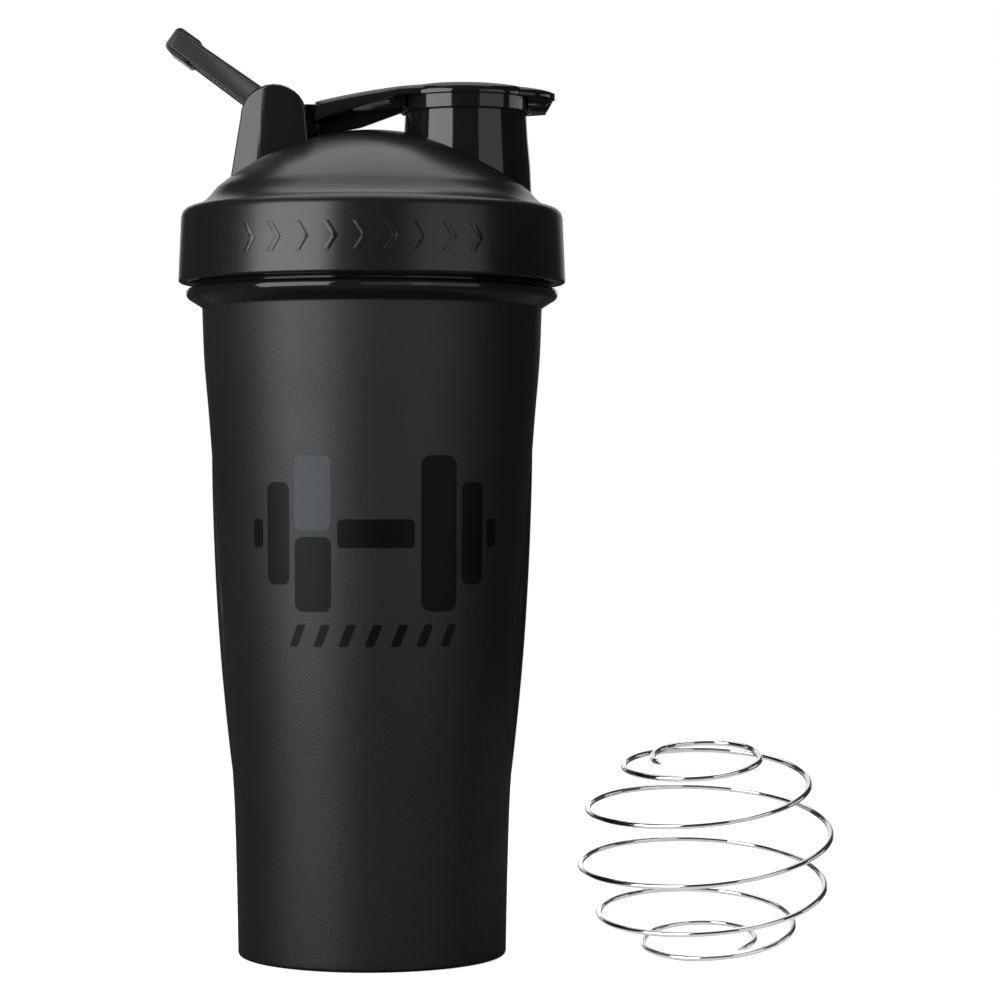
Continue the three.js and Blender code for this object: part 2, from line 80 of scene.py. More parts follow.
class Slot(Enum):
    """The record's material slots."""

    CUP = "cup_plastic"
    LID = "lid_plastic"
    CAP = "cap_plastic"
    LOOP = "loop_plastic"
    SEAL = "seal_rubber"
    PIN = "pin_plastic"
    PRINT = "print_ink"
    ACCENT = "accent_ink"
    WIRE = "stainless_wire"


# ---- Mesh work ----


@dataclass(frozen=True)
class Corner:
    """A corner of an outline, with the rounding it gets."""

    across: float
    up: float
    radius: float = 0.0


@dataclass(frozen=True)
class Arch:
    """A curve in X and Z that one control point pulls between two ends."""

    start: tuple[float, float]
    pull: tuple[float, float]
    end: tuple[float, float]

    def height(self, x: float) -> float:
        """Height of the curve at a place along X.

        Args:
            x: The place, anywhere; past an end, the height is that end's.

        Returns:
            The curve's height there.
        """
        (x0, z0), (x1, z1), (x2, z2) = self.start, self.pull, self.end
        x = min(max(x, min(x0, x2)), max(x0, x2))
        bend = x0 - 2 * x1 + x2
        run = x1 - x0
        if abs(bend) < 1e-9:
            share = (x - x0) / (2 * run)
        else:
            root = math.sqrt(max(0.0, run * run - bend * (x0 - x)))
            shares = ((-run + root) / bend, (-run - root) / bend)
            share = min(shares, key=lambda value: abs(value - 0.5))
        return (1 - share) ** 2 * z0 + 2 * share * (1 - share) * z1 + share**2 * z2


class Form:
    """A form under construction, shaped by bmesh operators."""

    def __init__(self) -> None:
        """Starts with an empty mesh."""
        self.bm = bmesh.new()

    def wire(self, corners: Sequence[Corner], closed: bool = False) -> list[BMVert | BMEdge]:
        """Draws an outline in X and Z and rounds its corners.

        Args:
            corners: The outline's corners in order.
            closed: Whether the last corner joins the first.

        Returns:
            The new vertices and edges.
        """
        before = set(self.bm.verts)
        points = [self.bm.verts.new((corner.across, 0.0, corner.up)) for corner in corners]
        pairs = list(zip(points, points[1:]))
        if closed:
            pairs.append((points[-1], points[0]))
        for first, second in pairs:
            self.bm.edges.new((first, second))
        for place, corner in enumerate(corners):
            if corner.radius:
                following = corners[(place + 1) % len(corners)]
                self._round(points[place], corner, corners[place - 1], following)
        verts = [vert for vert in self.bm.verts if vert not in before]
        bmesh.ops.remove_doubles(self.bm, verts=verts, dist=WELD)
        verts = [vert for vert in self.bm.verts if vert not in before]
        return verts + list(dict.fromkeys(edge for vert in verts for edge in vert.link_edges))

    def _round(self, vert: BMVert, corner: Corner, last: Corner, following: Corner) -> None:
        """Rounds one corner of a wire by a vertex bevel.

        Args:
            vert: The corner's vertex.
            corner: The corner.
            last: The corner before it.
            following: The corner after it.
        """
        into = Vector((corner.across - last.across, corner.up - last.up))
        out = Vector((following.across - corner.across, following.up - corner.up))
        turn = into.angle(out)
        if turn < LEAST_TURN:
            return
        bmesh.ops.bevel(
            self.bm,
            geom=[vert],
            offset=corner.radius * math.tan(turn / 2),
            offset_type="OFFSET",
            segments=max(2, round(turn / ARC_STEP)),
            profile=0.5,
            affect="VERTICES",
            clamp_overlap=False,
            material=-1,
        )

    def spin(self, corners: Sequence[Corner], steps: int, closed: bool = False) -> "Form":
        """Turns an outline a full circle about the Z axis.

        Args:
            corners: The outline, across as radius; an open one starts and ends on the axis.
            steps: How many steps the circle has.
            closed: Whether the outline is a closed loop away from the axis.

        Returns:
            This form.
        """
        geom = self.wire(corners, closed)
        bmesh.ops.spin(
            self.bm,
            geom=geom,
            cent=(0, 0, 0),
            axis=(0, 0, 1),
            dvec=(0, 0, 0),
            angle=2 * math.pi,
            steps=steps,
            use_merge=True,
        )
        return self.tidy()

    def prism(
        self,
        corners: Sequence[Corner],
        start: float,
        end: float,
        rim: float = 0.0,
        segments: int = 3,
    ) -> "Form":
        """Extrudes a closed outline along Y and rounds its two rims.

        Args:
            corners: The outline in X and Z.
            start: Y of the first face.
            end: Y of the second face.
            rim: Rounding of the edges round both faces.
            segments: Segments of that rounding.

        Returns:
            This form.
        """
        geom = self.wire(corners, closed=True)
        edges = [item for item in geom if isinstance(item, BMEdge)]
        faces = bmesh.ops.edgeloop_fill(self.bm, edges=edges)["faces"]
        verts = [item for item in geom if isinstance(item, BMVert)]
        bmesh.ops.translate(self.bm, vec=(0, start, 0), verts=verts)
        moved = bmesh.ops.extrude_face_region(self.bm, geom=faces, use_keep_orig=True)["geom"]
        far = [item for item in moved if isinstance(item, BMVert)]
        bmesh.ops.translate(self.bm, vec=(0, end - start, 0), verts=far)
        touched = dict.fromkeys(face for vert in [*verts, *far] for face in vert.link_faces)
        bmesh.ops.recalc_face_normals(self.bm, faces=list(touched))
        if rim:
            rims = [edge for edge in edges if edge.is_valid]
            rims += [item for item in moved if isinstance(item, BMEdge)]
            self.soften(rims, rim, segments)
        return self

    def soften(self, edges: Iterable[BMEdge], width: float, segments: int) -> None:
        """Rounds edges.

        Args:
            edges: The edges.
            width: How far the rounding reaches from each edge.
            segments: Segments of the rounding.
        """
        bmesh.ops.bevel(
            self.bm,
            geom=list(edges),
            offset=width,
            offset_type="OFFSET",
            segments=segments,
            profile=0.5,
            affect="EDGES",
            clamp_overlap=False,
            material=-1,
        )

    def loft(self, sections: Sequence[Sequence[Vector]]) -> "Form":
        """Carries a closed section through a row of places and closes both ends.

        Args:
            sections: The section's points at each place, as many at each.

        Returns:
            This form.
        """
        first = [self.bm.verts.new(point) for point in sections[0]]
        ring = [self.bm.edges.new(pair) for pair in zip(first, first[1:] + first[:1])]
        bmesh.ops.edgeloop_fill(self.bm, edges=ring)
        verts = first
        for section in sections[1:]:
            made = bmesh.ops.extrude_edge_only(self.bm, edges=ring)["geom"]
            new_edges = [item for item in made if isinstance(item, BMEdge)]
            following = self._partners(verts, [item for item in made if isinstance(item, BMVert)])
            for vert, point in zip(following, section):
                vert.co = point
            fresh = set(following)
            ring = [edge for edge in new_edges if edge.verts[0] in fresh and edge.verts[1] in fresh]
            verts = following
        bmesh.ops.edgeloop_fill(self.bm, edges=ring)
        return self

    @staticmethod
    def _partners(verts: Sequence[BMVert], fresh: Sequence[BMVert]) -> list[BMVert]:
        """Puts extruded vertices in the order of those they came from.

        Args:
            verts: The vertices that were extruded.
            fresh: The new vertices, in any order.

        Returns:
            The new vertices in the order of the old ones.
        """
        new = set(fresh)
        return [
            next(edge.other_vert(vert) for edge in vert.link_edges if edge.other_vert(vert) in new)
            for vert in verts
        ]

    def add(self, other: "Form") -> "Form":
        """Takes in another form's mesh as a shell of its own.

        Args:
            other: The other form, which is used up.

        Returns:
            This form.
        """
        mesh = bpy.data.meshes.new("shell")
        other.bm.to_mesh(mesh)
        other.bm.free()
        self.bm.from_mesh(mesh)
        bpy.data.meshes.remove(mesh)
        return self

    def carve(self, tools: Sequence[tuple["Form", str]]) -> "Form":
        """Joins or cuts the form with others.

        Args:
            tools: Pairs of another form and UNION or DIFFERENCE, used in order.

        Returns:
            This form.
        """
        base = self.as_object("base")
        helpers = [base]
        for tool, operation in tools:
            helper = tool.as_object("tool")
            helpers.append(helper)
            modifier = base.modifiers.new("carve", "BOOLEAN")
            modifier.object = helper
            modifier.operation = operation
            modifier.solver = "EXACT"
        graph = bpy.context.evaluated_depsgraph_get()
        result = bpy.data.meshes.new_from_object(base.evaluated_get(graph))
        self.bm = bmesh.new()
        self.bm.from_mesh(result)
        for helper in helpers:
            mesh = helper.data
            bpy.data.objects.remove(helper)
            bpy.data.meshes.remove(mesh)
        bpy.data.meshes.remove(result)
        bmesh.ops.dissolve_degenerate(self.bm, dist=1e-7, edges=self.bm.edges)
        return self

    def as_object(self, name: str) -> bpy.types.Object:
        """Makes an object of the form, which is used up.

        Args:
            name: The object's name.

        Returns:
            The object, linked to the scene.
        """
        self._in_order()
        mesh = bpy.data.meshes.new(name)
        self.bm.to_mesh(mesh)
        self.bm.free()
        obj = bpy.data.objects.new(name, mesh)
        bpy.context.scene.collection.objects.link(obj)
        return obj

    def _in_order(self) -> None:
        """Puts vertices, edges and faces in order of place, so that every run gives one result."""
        for items, key in (
            (self.bm.verts, lambda vert: [round(value, 8) for value in vert.co]),
            (self.bm.edges, lambda edge: sorted(vert.index for vert in edge.verts)),
            (self.bm.faces, lambda face: sorted(vert.index for vert in face.verts)),
        ):
            for place, item in enumerate(sorted(items, key=key)):
                item.index = place
            items.sort()

    def moved(self, x: float = 0.0, y: float = 0.0, z: float = 0.0) -> "Form":
        """Shifts the whole form."""
        bmesh.ops.translate(self.bm, vec=(x, y, z), verts=self.bm.verts)
        return self

    def turned(self, angle: float, axis: str) -> "Form":
        """Turns the whole form about an axis through the origin."""
        bmesh.ops.rotate(
            self.bm, cent=(0, 0, 0), matrix=Matrix.Rotation(angle, 3, axis), verts=self.bm.verts
        )
        return self

    def shaped(self, place: Callable[[Vector], Vector]) -> "Form":
        """Moves every vertex to where a rule puts it.

        Args:
            place: Gives the new place of a point.

        Returns:
            This form.
        """
        for vert in self.bm.verts:
            vert.co = place(vert.co.copy())
        return self

    def wrapped(self, wall_at: Callable[[float], float]) -> "Form":
        """Wraps the form round an upright wall, its X as the length along the wall.

        Args:
            wall_at: Gives the wall's radius at a height.

        Returns:
            This form.
        """

        def place(point: Vector) -> Vector:
            """Gives a point's place on the wall.

            Args:
                point: The point.

            Returns:
                Its new place.
            """
            wall = wall_at(point.z)
            radius, angle = wall - point.y, point.x / wall
            return Vector((radius * math.sin(angle), -radius * math.cos(angle), point.z))

        return self.shaped(place)

    def sliced(self, pitch: float, upright_pitch: float) -> "Form":
        """Cuts the faces into columns and rows, so that they can follow a curved wall.

        Args:
            pitch: Distance between cuts along X.
            upright_pitch: Distance between cuts along Z.

        Returns:
            This form.
        """
        for axis, step in ((0, pitch), (2, upright_pitch)):
            low = min(vert.co[axis] for vert in self.bm.verts)
            high = max(vert.co[axis] for vert in self.bm.verts)
            normal = Vector((0, 0, 0))
            normal[axis] = 1
            for cut in range(1, math.ceil((high - low) / step)):
                point = Vector((0, 0, 0))
                point[axis] = low + cut * step
                geom = list(self.bm.verts) + list(self.bm.edges) + list(self.bm.faces)
                bmesh.ops.bisect_plane(
                    self.bm, geom=geom, dist=1e-7, plane_co=point, plane_no=normal
                )
        return self

    def tidy(self) -> "Form":
        """Closes seams and poles and points every face outwards.

        Returns:
            This form.
        """
        bmesh.ops.remove_doubles(self.bm, verts=self.bm.verts, dist=2e-6)
        bmesh.ops.recalc_face_normals(self.bm, faces=self.bm.faces)
        return self

    def piece(
        self, name: str, body: Body, slot: Slot, finish: "Finish", stands_for: Sequence[str] = ()
    ) -> bpy.types.Object:
        """Makes the finished piece and reports it.

        Args:
            name: The piece's name.
            body: The body it moves with.
            slot: The record's material slot.
            finish: The finish it wears.
            stands_for: The frame's nodes that it replaces.

        Returns:
            The piece.
        """
        self.tidy()
        for face in self.bm.faces:
            face.smooth = True
        for edge in self.bm.edges:
            edge.smooth = len(edge.link_faces) != 2 or edge.calc_face_angle() < SHARP_ANGLE
        obj = self.as_object(name)
        dress(obj, body, slot, finish)
        if stands_for:
            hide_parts(*stands_for)
        log.info("%s: %d faces on %s", name, len(obj.data.polygons), body.value)
        return obj


def dress(obj: bpy.types.Object, body: Body, slot: Slot, finish: "Finish") -> None:
    """Puts an object on its body and gives it its finish.

    Args:
        obj: The object.
        body: The body it moves with.
        slot: The record's material slot; not used.
        finish: The finish it wears.
    """
    obj.data.materials.clear()
    obj.data.materials.append(finish.material())
    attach(obj, body.value)


# ---- Finishes ----


class Nodes:
    """Short hands for a node tree."""

    def __init__(self, tree: bpy.types.NodeTree) -> None:
        """Keeps the tree."""
        self.tree = tree

    def new(
        self, kind: str, values: dict[str | int, object] | None = None, **settings: object
    ) -> bpy.types.Node:
        """Adds a node.

        Args:
            kind: The node's type name.
            values: Fixed values of its inputs.
            **settings: Its properties.

        Returns:
            The node.
        """
        node = self.tree.nodes.new(kind)
        for key, value in settings.items():
            setattr(node, key, value)
        for key, value in (values or {}).items():
            node.inputs[key].default_value = value
        return node

    def link(self, source: bpy.types.NodeSocket, target: bpy.types.NodeSocket) -> None:
        """Links two sockets."""
        self.tree.links.new(source, target)

    def links(self, *rows: tuple[bpy.types.Node, str | int, bpy.types.Node, str | int]) -> None:
        """Links nodes, each row being a node, its output, the next node and its input."""
        for source, output, target, entry in rows:
            self.link(source.outputs[output], target.inputs[entry])


def effect_group(name: str, inputs: dict[str, float], outputs: Sequence[str]) -> bpy.types.NodeTree:
    """Starts a shader node group with a vector input, number inputs and number outputs.

    Args:
        name: The group's name.
        inputs: Each number input's name and usual value.
        outputs: The number outputs' names.

    Returns:
        The group's tree.
    """
    tree = bpy.data.node_groups.new(name, "ShaderNodeTree")
    tree.interface.new_socket("Vector", in_out="INPUT", socket_type="NodeSocketVector")
    for label, value in inputs.items():
        socket = tree.interface.new_socket(label, in_out="INPUT", socket_type="NodeSocketFloat")
        socket.default_value = value
    for label in outputs:
        tree.interface.new_socket(label, in_out="OUTPUT", socket_type="NodeSocketFloat")
    return tree


def grain_group() -> bpy.types.NodeTree:
    """Fine moulded grain: a mix of two noises as a height, with its own mask.

    Returns:
        The group's tree.
    """
    found = bpy.data.node_groups.get("mould_grain")
    if found:
        return found
    tree = effect_group("mould_grain", {"Scale": 2500.0, "Coarse": 0.3}, ("Height", "Mask"))
    nodes = Nodes(tree)
    entry, leave = nodes.new("NodeGroupInput"), nodes.new("NodeGroupOutput")
    fine = nodes.new("ShaderNodeTexNoise", {"Detail": 2.0})
    coarse = nodes.new("ShaderNodeTexNoise", {"Detail": 1.0})
    slower = nodes.new("ShaderNodeMath", {1: 0.31}, operation="MULTIPLY")
    blend = nodes.new("ShaderNodeMix", data_type="FLOAT")
    spread = nodes.new("ShaderNodeMapRange", {"From Min": 0.35, "From Max": 0.65})
    nodes.links(
        (entry, "Vector", fine, "Vector"), (entry, "Vector", coarse, "Vector"),
        (entry, "Scale", fine, "Scale"), (entry, "Scale", slower, 0), (slower, 0, coarse, "Scale"),
        (entry, "Coarse", blend, "Factor"), (fine, "Fac", blend, "A"), (coarse, "Fac", blend, "B"),
        (blend, "Result", leave, "Height"), (blend, "Result", spread, "Value"),
        (spread, "Result", leave, "Mask"),
    )
    return tree


def handling_group() -> bpy.types.NodeTree:
    """Soft blotches and faint upright wipe marks where hands and cloths have been.

    Returns:
        The group's tree.
    """
    found = bpy.data.node_groups.get("handling")
    if found:
        return found
    tree = effect_group("handling", {"Size": 28.0}, ("Blotch", "Wipe"))
    nodes = Nodes(tree)
    entry, leave = nodes.new("NodeGroupInput"), nodes.new("NodeGroupOutput")
    blotch = nodes.new("ShaderNodeTexNoise", {"Detail": 4.0, "Roughness": 0.6})
    soften = nodes.new("ShaderNodeMapRange", {"From Min": 0.32, "From Max": 0.72})
    stretch = nodes.new("ShaderNodeMapping", {"Scale": (9.0, 9.0, 0.7)})
    streak = nodes.new("ShaderNodeTexNoise", {"Detail": 3.0})
    nodes.links(
        (entry, "Vector", blotch, "Vector"), (entry, "Size", blotch, "Scale"),
        (blotch, "Fac", soften, "Value"), (soften, "Result", leave, "Blotch"),
        (entry, "Vector", stretch, "Vector"), (stretch, "Vector", streak, "Vector"),
        (entry, "Size", streak, "Scale"), (streak, "Fac", leave, "Wipe"),
    )
    return tree


@dataclass(frozen=True)
class Finish:
    """A moulded or printed surface: its tones, gloss, grain and marks of handling."""

    name: str
    dark: tuple[float, float, float]
    light: tuple[float, float, float]
    smooth: float
    rough: float
    grain_scale: float = 2200.0
    grain_coarse: float = 0.3
    grain_depth: float = 0.02
    grain_strength: float = 0.12
    blotch_size: float = 28.0
    specular: float = 0.5
    metallic: float = 0.0
    coat: float = 0.0
    coat_rough: float = 0.05
    polished_above: float | None = None
    polished_rounds: tuple[tuple[float, float, float], ...] = ()
    polished_rough: float = 0.08

    def material(self) -> bpy.types.Material:
        """Builds the material, or finds it when it is already built.

        Returns:
            The material.
        """
        found = bpy.data.materials.get(self.name)
        if found:
            return found
        material = bpy.data.materials.new(self.name)
        material.use_nodes = True
        material.diffuse_color = (*self.light, 1.0)
        nodes = Nodes(material.node_tree)
        shader = material.node_tree.nodes["Principled BSDF"]
        shader.inputs["Metallic"].default_value = self.metallic
        shader.inputs["Specular IOR Level"].default_value = self.specular
        shader.inputs["Coat Weight"].default_value = self.coat
        shader.inputs["Coat Roughness"].default_value = self.coat_rough
        place = nodes.new("ShaderNodeTexCoord")
        scales = {"Scale": self.grain_scale, "Coarse": self.grain_coarse}
        grain = nodes.new("ShaderNodeGroup", scales, node_tree=grain_group())
        handling = nodes.new(
            "ShaderNodeGroup", {"Size": self.blotch_size}, node_tree=handling_group()
        )
        relief = {"Distance": self.grain_depth * MM, "Strength": self.grain_strength}
        bump = nodes.new("ShaderNodeBump", relief)
        nodes.links(
            (place, "Object", grain, "Vector"), (place, "Object", handling, "Vector"),
            (bump, "Normal", shader, "Normal"),
        )
        self._colour(nodes, shader, grain, handling)
        roughness = self._roughness(nodes, handling)
        height = grain.outputs["Height"]
        if self.polished_above is not None or self.polished_rounds:
            roughness, left = self._polish(nodes, place, roughness)
            fade = nodes.new("ShaderNodeMath", operation="MULTIPLY")
            nodes.link(height, fade.inputs[0])
            nodes.link(left, fade.inputs[1])
            height = fade.outputs[0]
        nodes.link(roughness, shader.inputs["Roughness"])
        nodes.link(height, bump.inputs["Height"])
        return material

    def _colour(
        self, nodes: Nodes, shader: bpy.types.Node, grain: bpy.types.Node, handling: bpy.types.Node
    ) -> None:
        """Mixes the two tones by the grain and the blotches.

        Args:
            nodes: The material's nodes.
            shader: The surface shader.
            grain: The grain group's node.
            handling: The handling group's node.
        """
        share = nodes.new("ShaderNodeMath", {1: 0.45}, operation="MULTIPLY_ADD", use_clamp=True)
        half = nodes.new("ShaderNodeMath", {1: 0.5}, operation="MULTIPLY")
        tones = {"A": (*self.dark, 1.0), "B": (*self.light, 1.0)}
        mix = nodes.new("ShaderNodeMix", tones, data_type="RGBA")
        nodes.links(
            (handling, "Blotch", half, 0), (grain, "Mask", share, 0), (half, 0, share, 2),
            (share, 0, mix, "Factor"), (mix, "Result", shader, "Base Color"),
        )

    def _roughness(self, nodes: Nodes, handling: bpy.types.Node) -> bpy.types.NodeSocket:
        """Spreads the roughness between its two ends by the marks of handling.

        Args:
            nodes: The material's nodes.
            handling: The handling group's node.

        Returns:
            The roughness socket.
        """
        blend = nodes.new("ShaderNodeMix", {"Factor": 0.35}, data_type="FLOAT")
        ends = {"From Min": 0.2, "From Max": 0.8, "To Min": self.smooth, "To Max": self.rough}
        spread = nodes.new("ShaderNodeMapRange", ends)
        nodes.links(
            (handling, "Blotch", blend, "A"), (handling, "Wipe", blend, "B"),
            (blend, "Result", spread, "Value"),
        )
        return spread.outputs["Result"]

    def _polish(
        self, nodes: Nodes, place: bpy.types.Node, roughness: bpy.types.NodeSocket
    ) -> tuple[bpy.types.NodeSocket, bpy.types.NodeSocket]:
        """Leaves the surface above a level, or round upright axes, polished.

        Args:
            nodes: The material's nodes.
            place: The texture coordinates' node.
            roughness: The frosted roughness.

        Returns:
            The roughness and the share of the grain that is left.
        """
        split = nodes.new("ShaderNodeSeparateXYZ")
        nodes.links((place, "Object", split, "Vector"))
        if self.polished_rounds:
            left = self._away_from_axes(nodes, split)
        else:
            low = self.polished_above
            ends = {"From Min": low, "From Max": low + POLISH_FADE, "To Min": 1.0, "To Max": 0.0}
            level = nodes.new("ShaderNodeMapRange", ends)
            nodes.links((split, "Z", level, "Value"))
            left = level.outputs["Result"]
        blend = nodes.new("ShaderNodeMix", {"A": self.polished_rough}, data_type="FLOAT")
        nodes.link(left, blend.inputs["Factor"])
        nodes.link(roughness, blend.inputs["B"])
        return blend.outputs["Result"], left

    def _away_from_axes(self, nodes: Nodes, split: bpy.types.Node) -> bpy.types.NodeSocket:
        """Gives 0 within each polished round and 1 away from them all.

        Args:
            nodes: The material's nodes.
            split: The node that gives X and Y.

        Returns:
            The socket.
        """
        flat = nodes.new("ShaderNodeCombineXYZ")
        nodes.links((split, "X", flat, "X"), (split, "Y", flat, "Y"))
        result = None
        for axis_x, radius, fade in self.polished_rounds:
            centre = {1: (axis_x, 0.0, 0.0)}
            away = nodes.new("ShaderNodeVectorMath", centre, operation="DISTANCE")
            ends = {"From Min": radius, "From Max": radius + fade}
            level = nodes.new("ShaderNodeMapRange", ends)
            nodes.links((flat, "Vector", away, 0), (away, "Value", level, "Value"))
            if result is None:
                result = level.outputs["Result"]
                continue
            both = nodes.new("ShaderNodeMath", operation="MULTIPLY")
            nodes.link(result, both.inputs[0])
            nodes.link(level.outputs["Result"], both.inputs[1])
            result = both.outputs[0]
        return result


FROSTED_CUP = Finish(
    "frosted_smoke_cup", (0.0055, 0.0055, 0.0057), (0.0105, 0.0105, 0.0108), 0.44, 0.52,
    grain_scale=1900.0, grain_depth=0.06, grain_strength=1.0, blotch_size=20.0, specular=0.42,
    polished_above=CUP_SIDE_TOP, polished_rough=0.1,
)
SATIN_LID = Finish(
    "satin_lid", (0.006, 0.006, 0.0063), (0.011, 0.011, 0.0114), 0.25, 0.33,
    grain_scale=3200.0, grain_depth=0.02, grain_strength=0.15,
    polished_rounds=((SPOUT_X, 17.0 * MM, 0.4 * MM), (HINGE_X, 14.6 * MM, 2.0 * MM)),
    polished_rough=0.07,
)
GLOSS_CAP = Finish(
    "gloss_cap", (0.006, 0.006, 0.0063), (0.010, 0.010, 0.0104), 0.05, 0.09,
    grain_scale=1500.0, grain_depth=0.002, grain_strength=0.05,
)
GLOSS_LOOP = Finish(
    "gloss_loop", (0.009, 0.009, 0.0093), (0.015, 0.015, 0.0154), 0.2, 0.27,
    grain_scale=1800.0, grain_depth=0.003, grain_strength=0.03,
)
SOFT_SEAL = Finish(
    "soft_seal", (0.022, 0.022, 0.024), (0.038, 0.038, 0.041), 0.62, 0.78,
    grain_scale=1400.0, grain_depth=0.03, grain_strength=0.3, specular=0.35,
)
HINGE_PLASTIC = Finish(
    "hinge_plastic", (0.008, 0.008, 0.0083), (0.014, 0.014, 0.0144), 0.24, 0.32,
    grain_scale=1900.0, grain_depth=0.01, grain_strength=0.12,
)
DARK_INK = Finish(
    "dark_ink", (0.002, 0.002, 0.002), (0.004, 0.004, 0.004), 0.4, 0.48,
    grain_scale=2400.0, grain_depth=0.03, grain_strength=0.4, specular=0.13,
)
SLATE_INK = Finish(
    "slate_ink", (0.060, 0.068, 0.078), (0.080, 0.090, 0.102), 0.4, 0.48,
    grain_scale=2400.0, grain_depth=0.03, grain_strength=0.4, specular=0.15,
)
POLISHED_WIRE = Finish(
    "polished_wire", (0.74, 0.75, 0.76), (0.86, 0.87, 0.88), 0.04, 0.09,
    grain_scale=900.0, grain_coarse=0.6, grain_depth=0.001, grain_strength=0.03, metallic=1.0,
)


# ---- Cup ----


@dataclass
class Cup:
    """The tapered cup, one moulding with its neck, flange, side ribs and foot ring."""

    foot_radius: float = 33.9 * MM
    side_top_radius: float = 43.0 * MM
    neck_radius: float = 44.0 * MM
    flange_radius: float = field(default_factory=lambda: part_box("cup")[1][0])
    rim: float = field(default_factory=lambda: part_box("cup")[1][2])
    foot_corner: float = 1.2 * MM
    foot_width: float = 3.2 * MM
    foot_recess: float = 1.0 * MM
    pad_radius: float = 12.0 * MM
    floor: float = 3.0 * MM
    wall: float = 1.9 * MM
    neck_wall: float = 2.8 * MM
    flange_height: float = 4.8 * MM
    flange_cone: float = 2.5 * MM
    rib_bottom: float = 43.3 * MM
    rib_length: float = 87.5 * MM
    rib_proud: float = 1.12 * MM
    rib_half_width: float = 7.2 * MM
    rib_buried: float = 0.35 * MM
    rib_thickness: float = 0.9 * MM
    thread_bead: float = 1.2 * MM
    thread_lead: float = 10.0 * MM
    thread_proud: float = 0.2 * MM
    thread_rise: float = 3.0 * MM
    thread_turns: float = 0.8
    thread_steps: int = 72
    thread_sides: int = 12
    steps: int = 192
    flare: tuple[tuple[float, float], ...] = (
        (0, 0), (0.12, 0.045), (0.25, 0.125), (0.49, 0.4), (0.7, 0.64), (0.83, 0.81),
        (0.92, 0.945), (1, 1),
    )

    @property
    def flange_top(self) -> float:
        """Height of the flange's top face."""
        return CUP_SIDE_TOP + self.flange_height

    def side_radius(self, z: float) -> float:
        """Outer radius of the side at a height, along a smooth curve through the flare.

        Args:
            z: The height.

        Returns:
            The radius.
        """
        share = min(max((z - self.foot_corner) / (CUP_SIDE_TOP - self.foot_corner), 0.0), 1.0)
        knots = self.flare
        place = next(i for i in range(1, len(knots)) if share <= knots[i][0] + 1e-9)
        before, after = knots[place - 1], knots[place]
        earlier = knots[max(0, place - 2)]
        later = knots[min(len(knots) - 1, place + 1)]
        run = after[0] - before[0]
        t = (share - before[0]) / run
        slope_in = (after[1] - earlier[1]) / (after[0] - earlier[0]) * run
        slope_out = (later[1] - before[1]) / (later[0] - before[0]) * run
        out = (
            (2 * t**3 - 3 * t**2 + 1) * before[1] + (t**3 - 2 * t**2 + t) * slope_in
            + (3 * t**2 - 2 * t**3) * after[1] + (t**3 - t**2) * slope_out
        )
        return self.foot_radius + out * (self.side_top_radius - self.foot_radius)

    def side(self, low: float, high: float, count: int, inward: float = 0.0) -> list[Corner]:
        """The side as outline corners from one height to another.

        Args:
            low: The height of the first corner.
            high: The height of the last corner.
            count: How many stretches there are.
            inward: How far the line is inside the outer side.

        Returns:
            The corners.
        """
        heights = [low + (high - low) * i / count for i in range(count + 1)]
        return [Corner(self.side_radius(z) - inward, z) for z in heights]

    def shell(self) -> Form:
        """The cup's wall, spun from one closed outline.

        Returns:
            The wall.
        """
        ring_inside = self.foot_radius - self.foot_width
        inside_foot = self.foot_radius - self.wall
        outline = [
            Corner(0, 0),
            Corner(self.pad_radius, 0, 0.4 * MM),
            Corner(self.pad_radius + self.foot_recess, self.foot_recess, 0.4 * MM),
            Corner(ring_inside - self.foot_recess, self.foot_recess, 0.4 * MM),
            Corner(ring_inside, 0, 0.4 * MM),
            Corner(self.foot_radius, 0, 1.0 * MM),
            *self.side(2.5 * MM, CUP_SIDE_TOP - 1.5 * MM, 48),
            Corner(self.side_top_radius, CUP_SIDE_TOP, 0.5 * MM),
            Corner(self.flange_radius, CUP_SIDE_TOP + self.flange_cone, 1.8 * MM),
            Corner(self.flange_radius, self.flange_top, 1.1 * MM),
            Corner(self.neck_radius, self.flange_top, 0.5 * MM),
            Corner(self.neck_radius, self.rim, 0.9 * MM),
            Corner(self.neck_radius - self.neck_wall, self.rim, 0.9 * MM),
            Corner(self.neck_radius - self.neck_wall, CUP_SIDE_TOP + self.flange_cone, 3.0 * MM),
            *reversed(self.side(7.5 * MM, CUP_SIDE_TOP - 3 * MM, 30, self.wall)),
            Corner(inside_foot, self.floor, 3.6 * MM),
            Corner(0, self.floor),
        ]
        return Form().spin(outline, self.steps)

    def rib(self) -> Form:
        """One lens-shaped grip rib on the +X side, which fades into the wall at both ends.

        Returns:
            The rib.
        """
        form = Form()
        bmesh.ops.create_grid(form.bm, x_segments=18, y_segments=90, size=1.0)

        def place(point: Vector) -> Vector:
            """Lays a point of the grid on the cup's side.

            Args:
                point: The point.

            Returns:
                Its new place.
            """
            across, along = point.x, point.y
            z = self.rib_bottom + self.rib_length * (along + 1) / 2
            fade = max(0.0, math.cos(along * math.pi / 2))
            y = across * self.rib_half_width * fade**0.75
            lift = (self.rib_proud + self.rib_buried) * fade**0.7 * (1 - across**8)
            radius = self.side_radius(z) + (lift - self.rib_buried)
            return Vector((math.sqrt(radius**2 - y**2), y, z))

        form.shaped(place)
        bmesh.ops.solidify(form.bm, geom=list(form.bm.faces), thickness=self.rib_thickness)
        return form

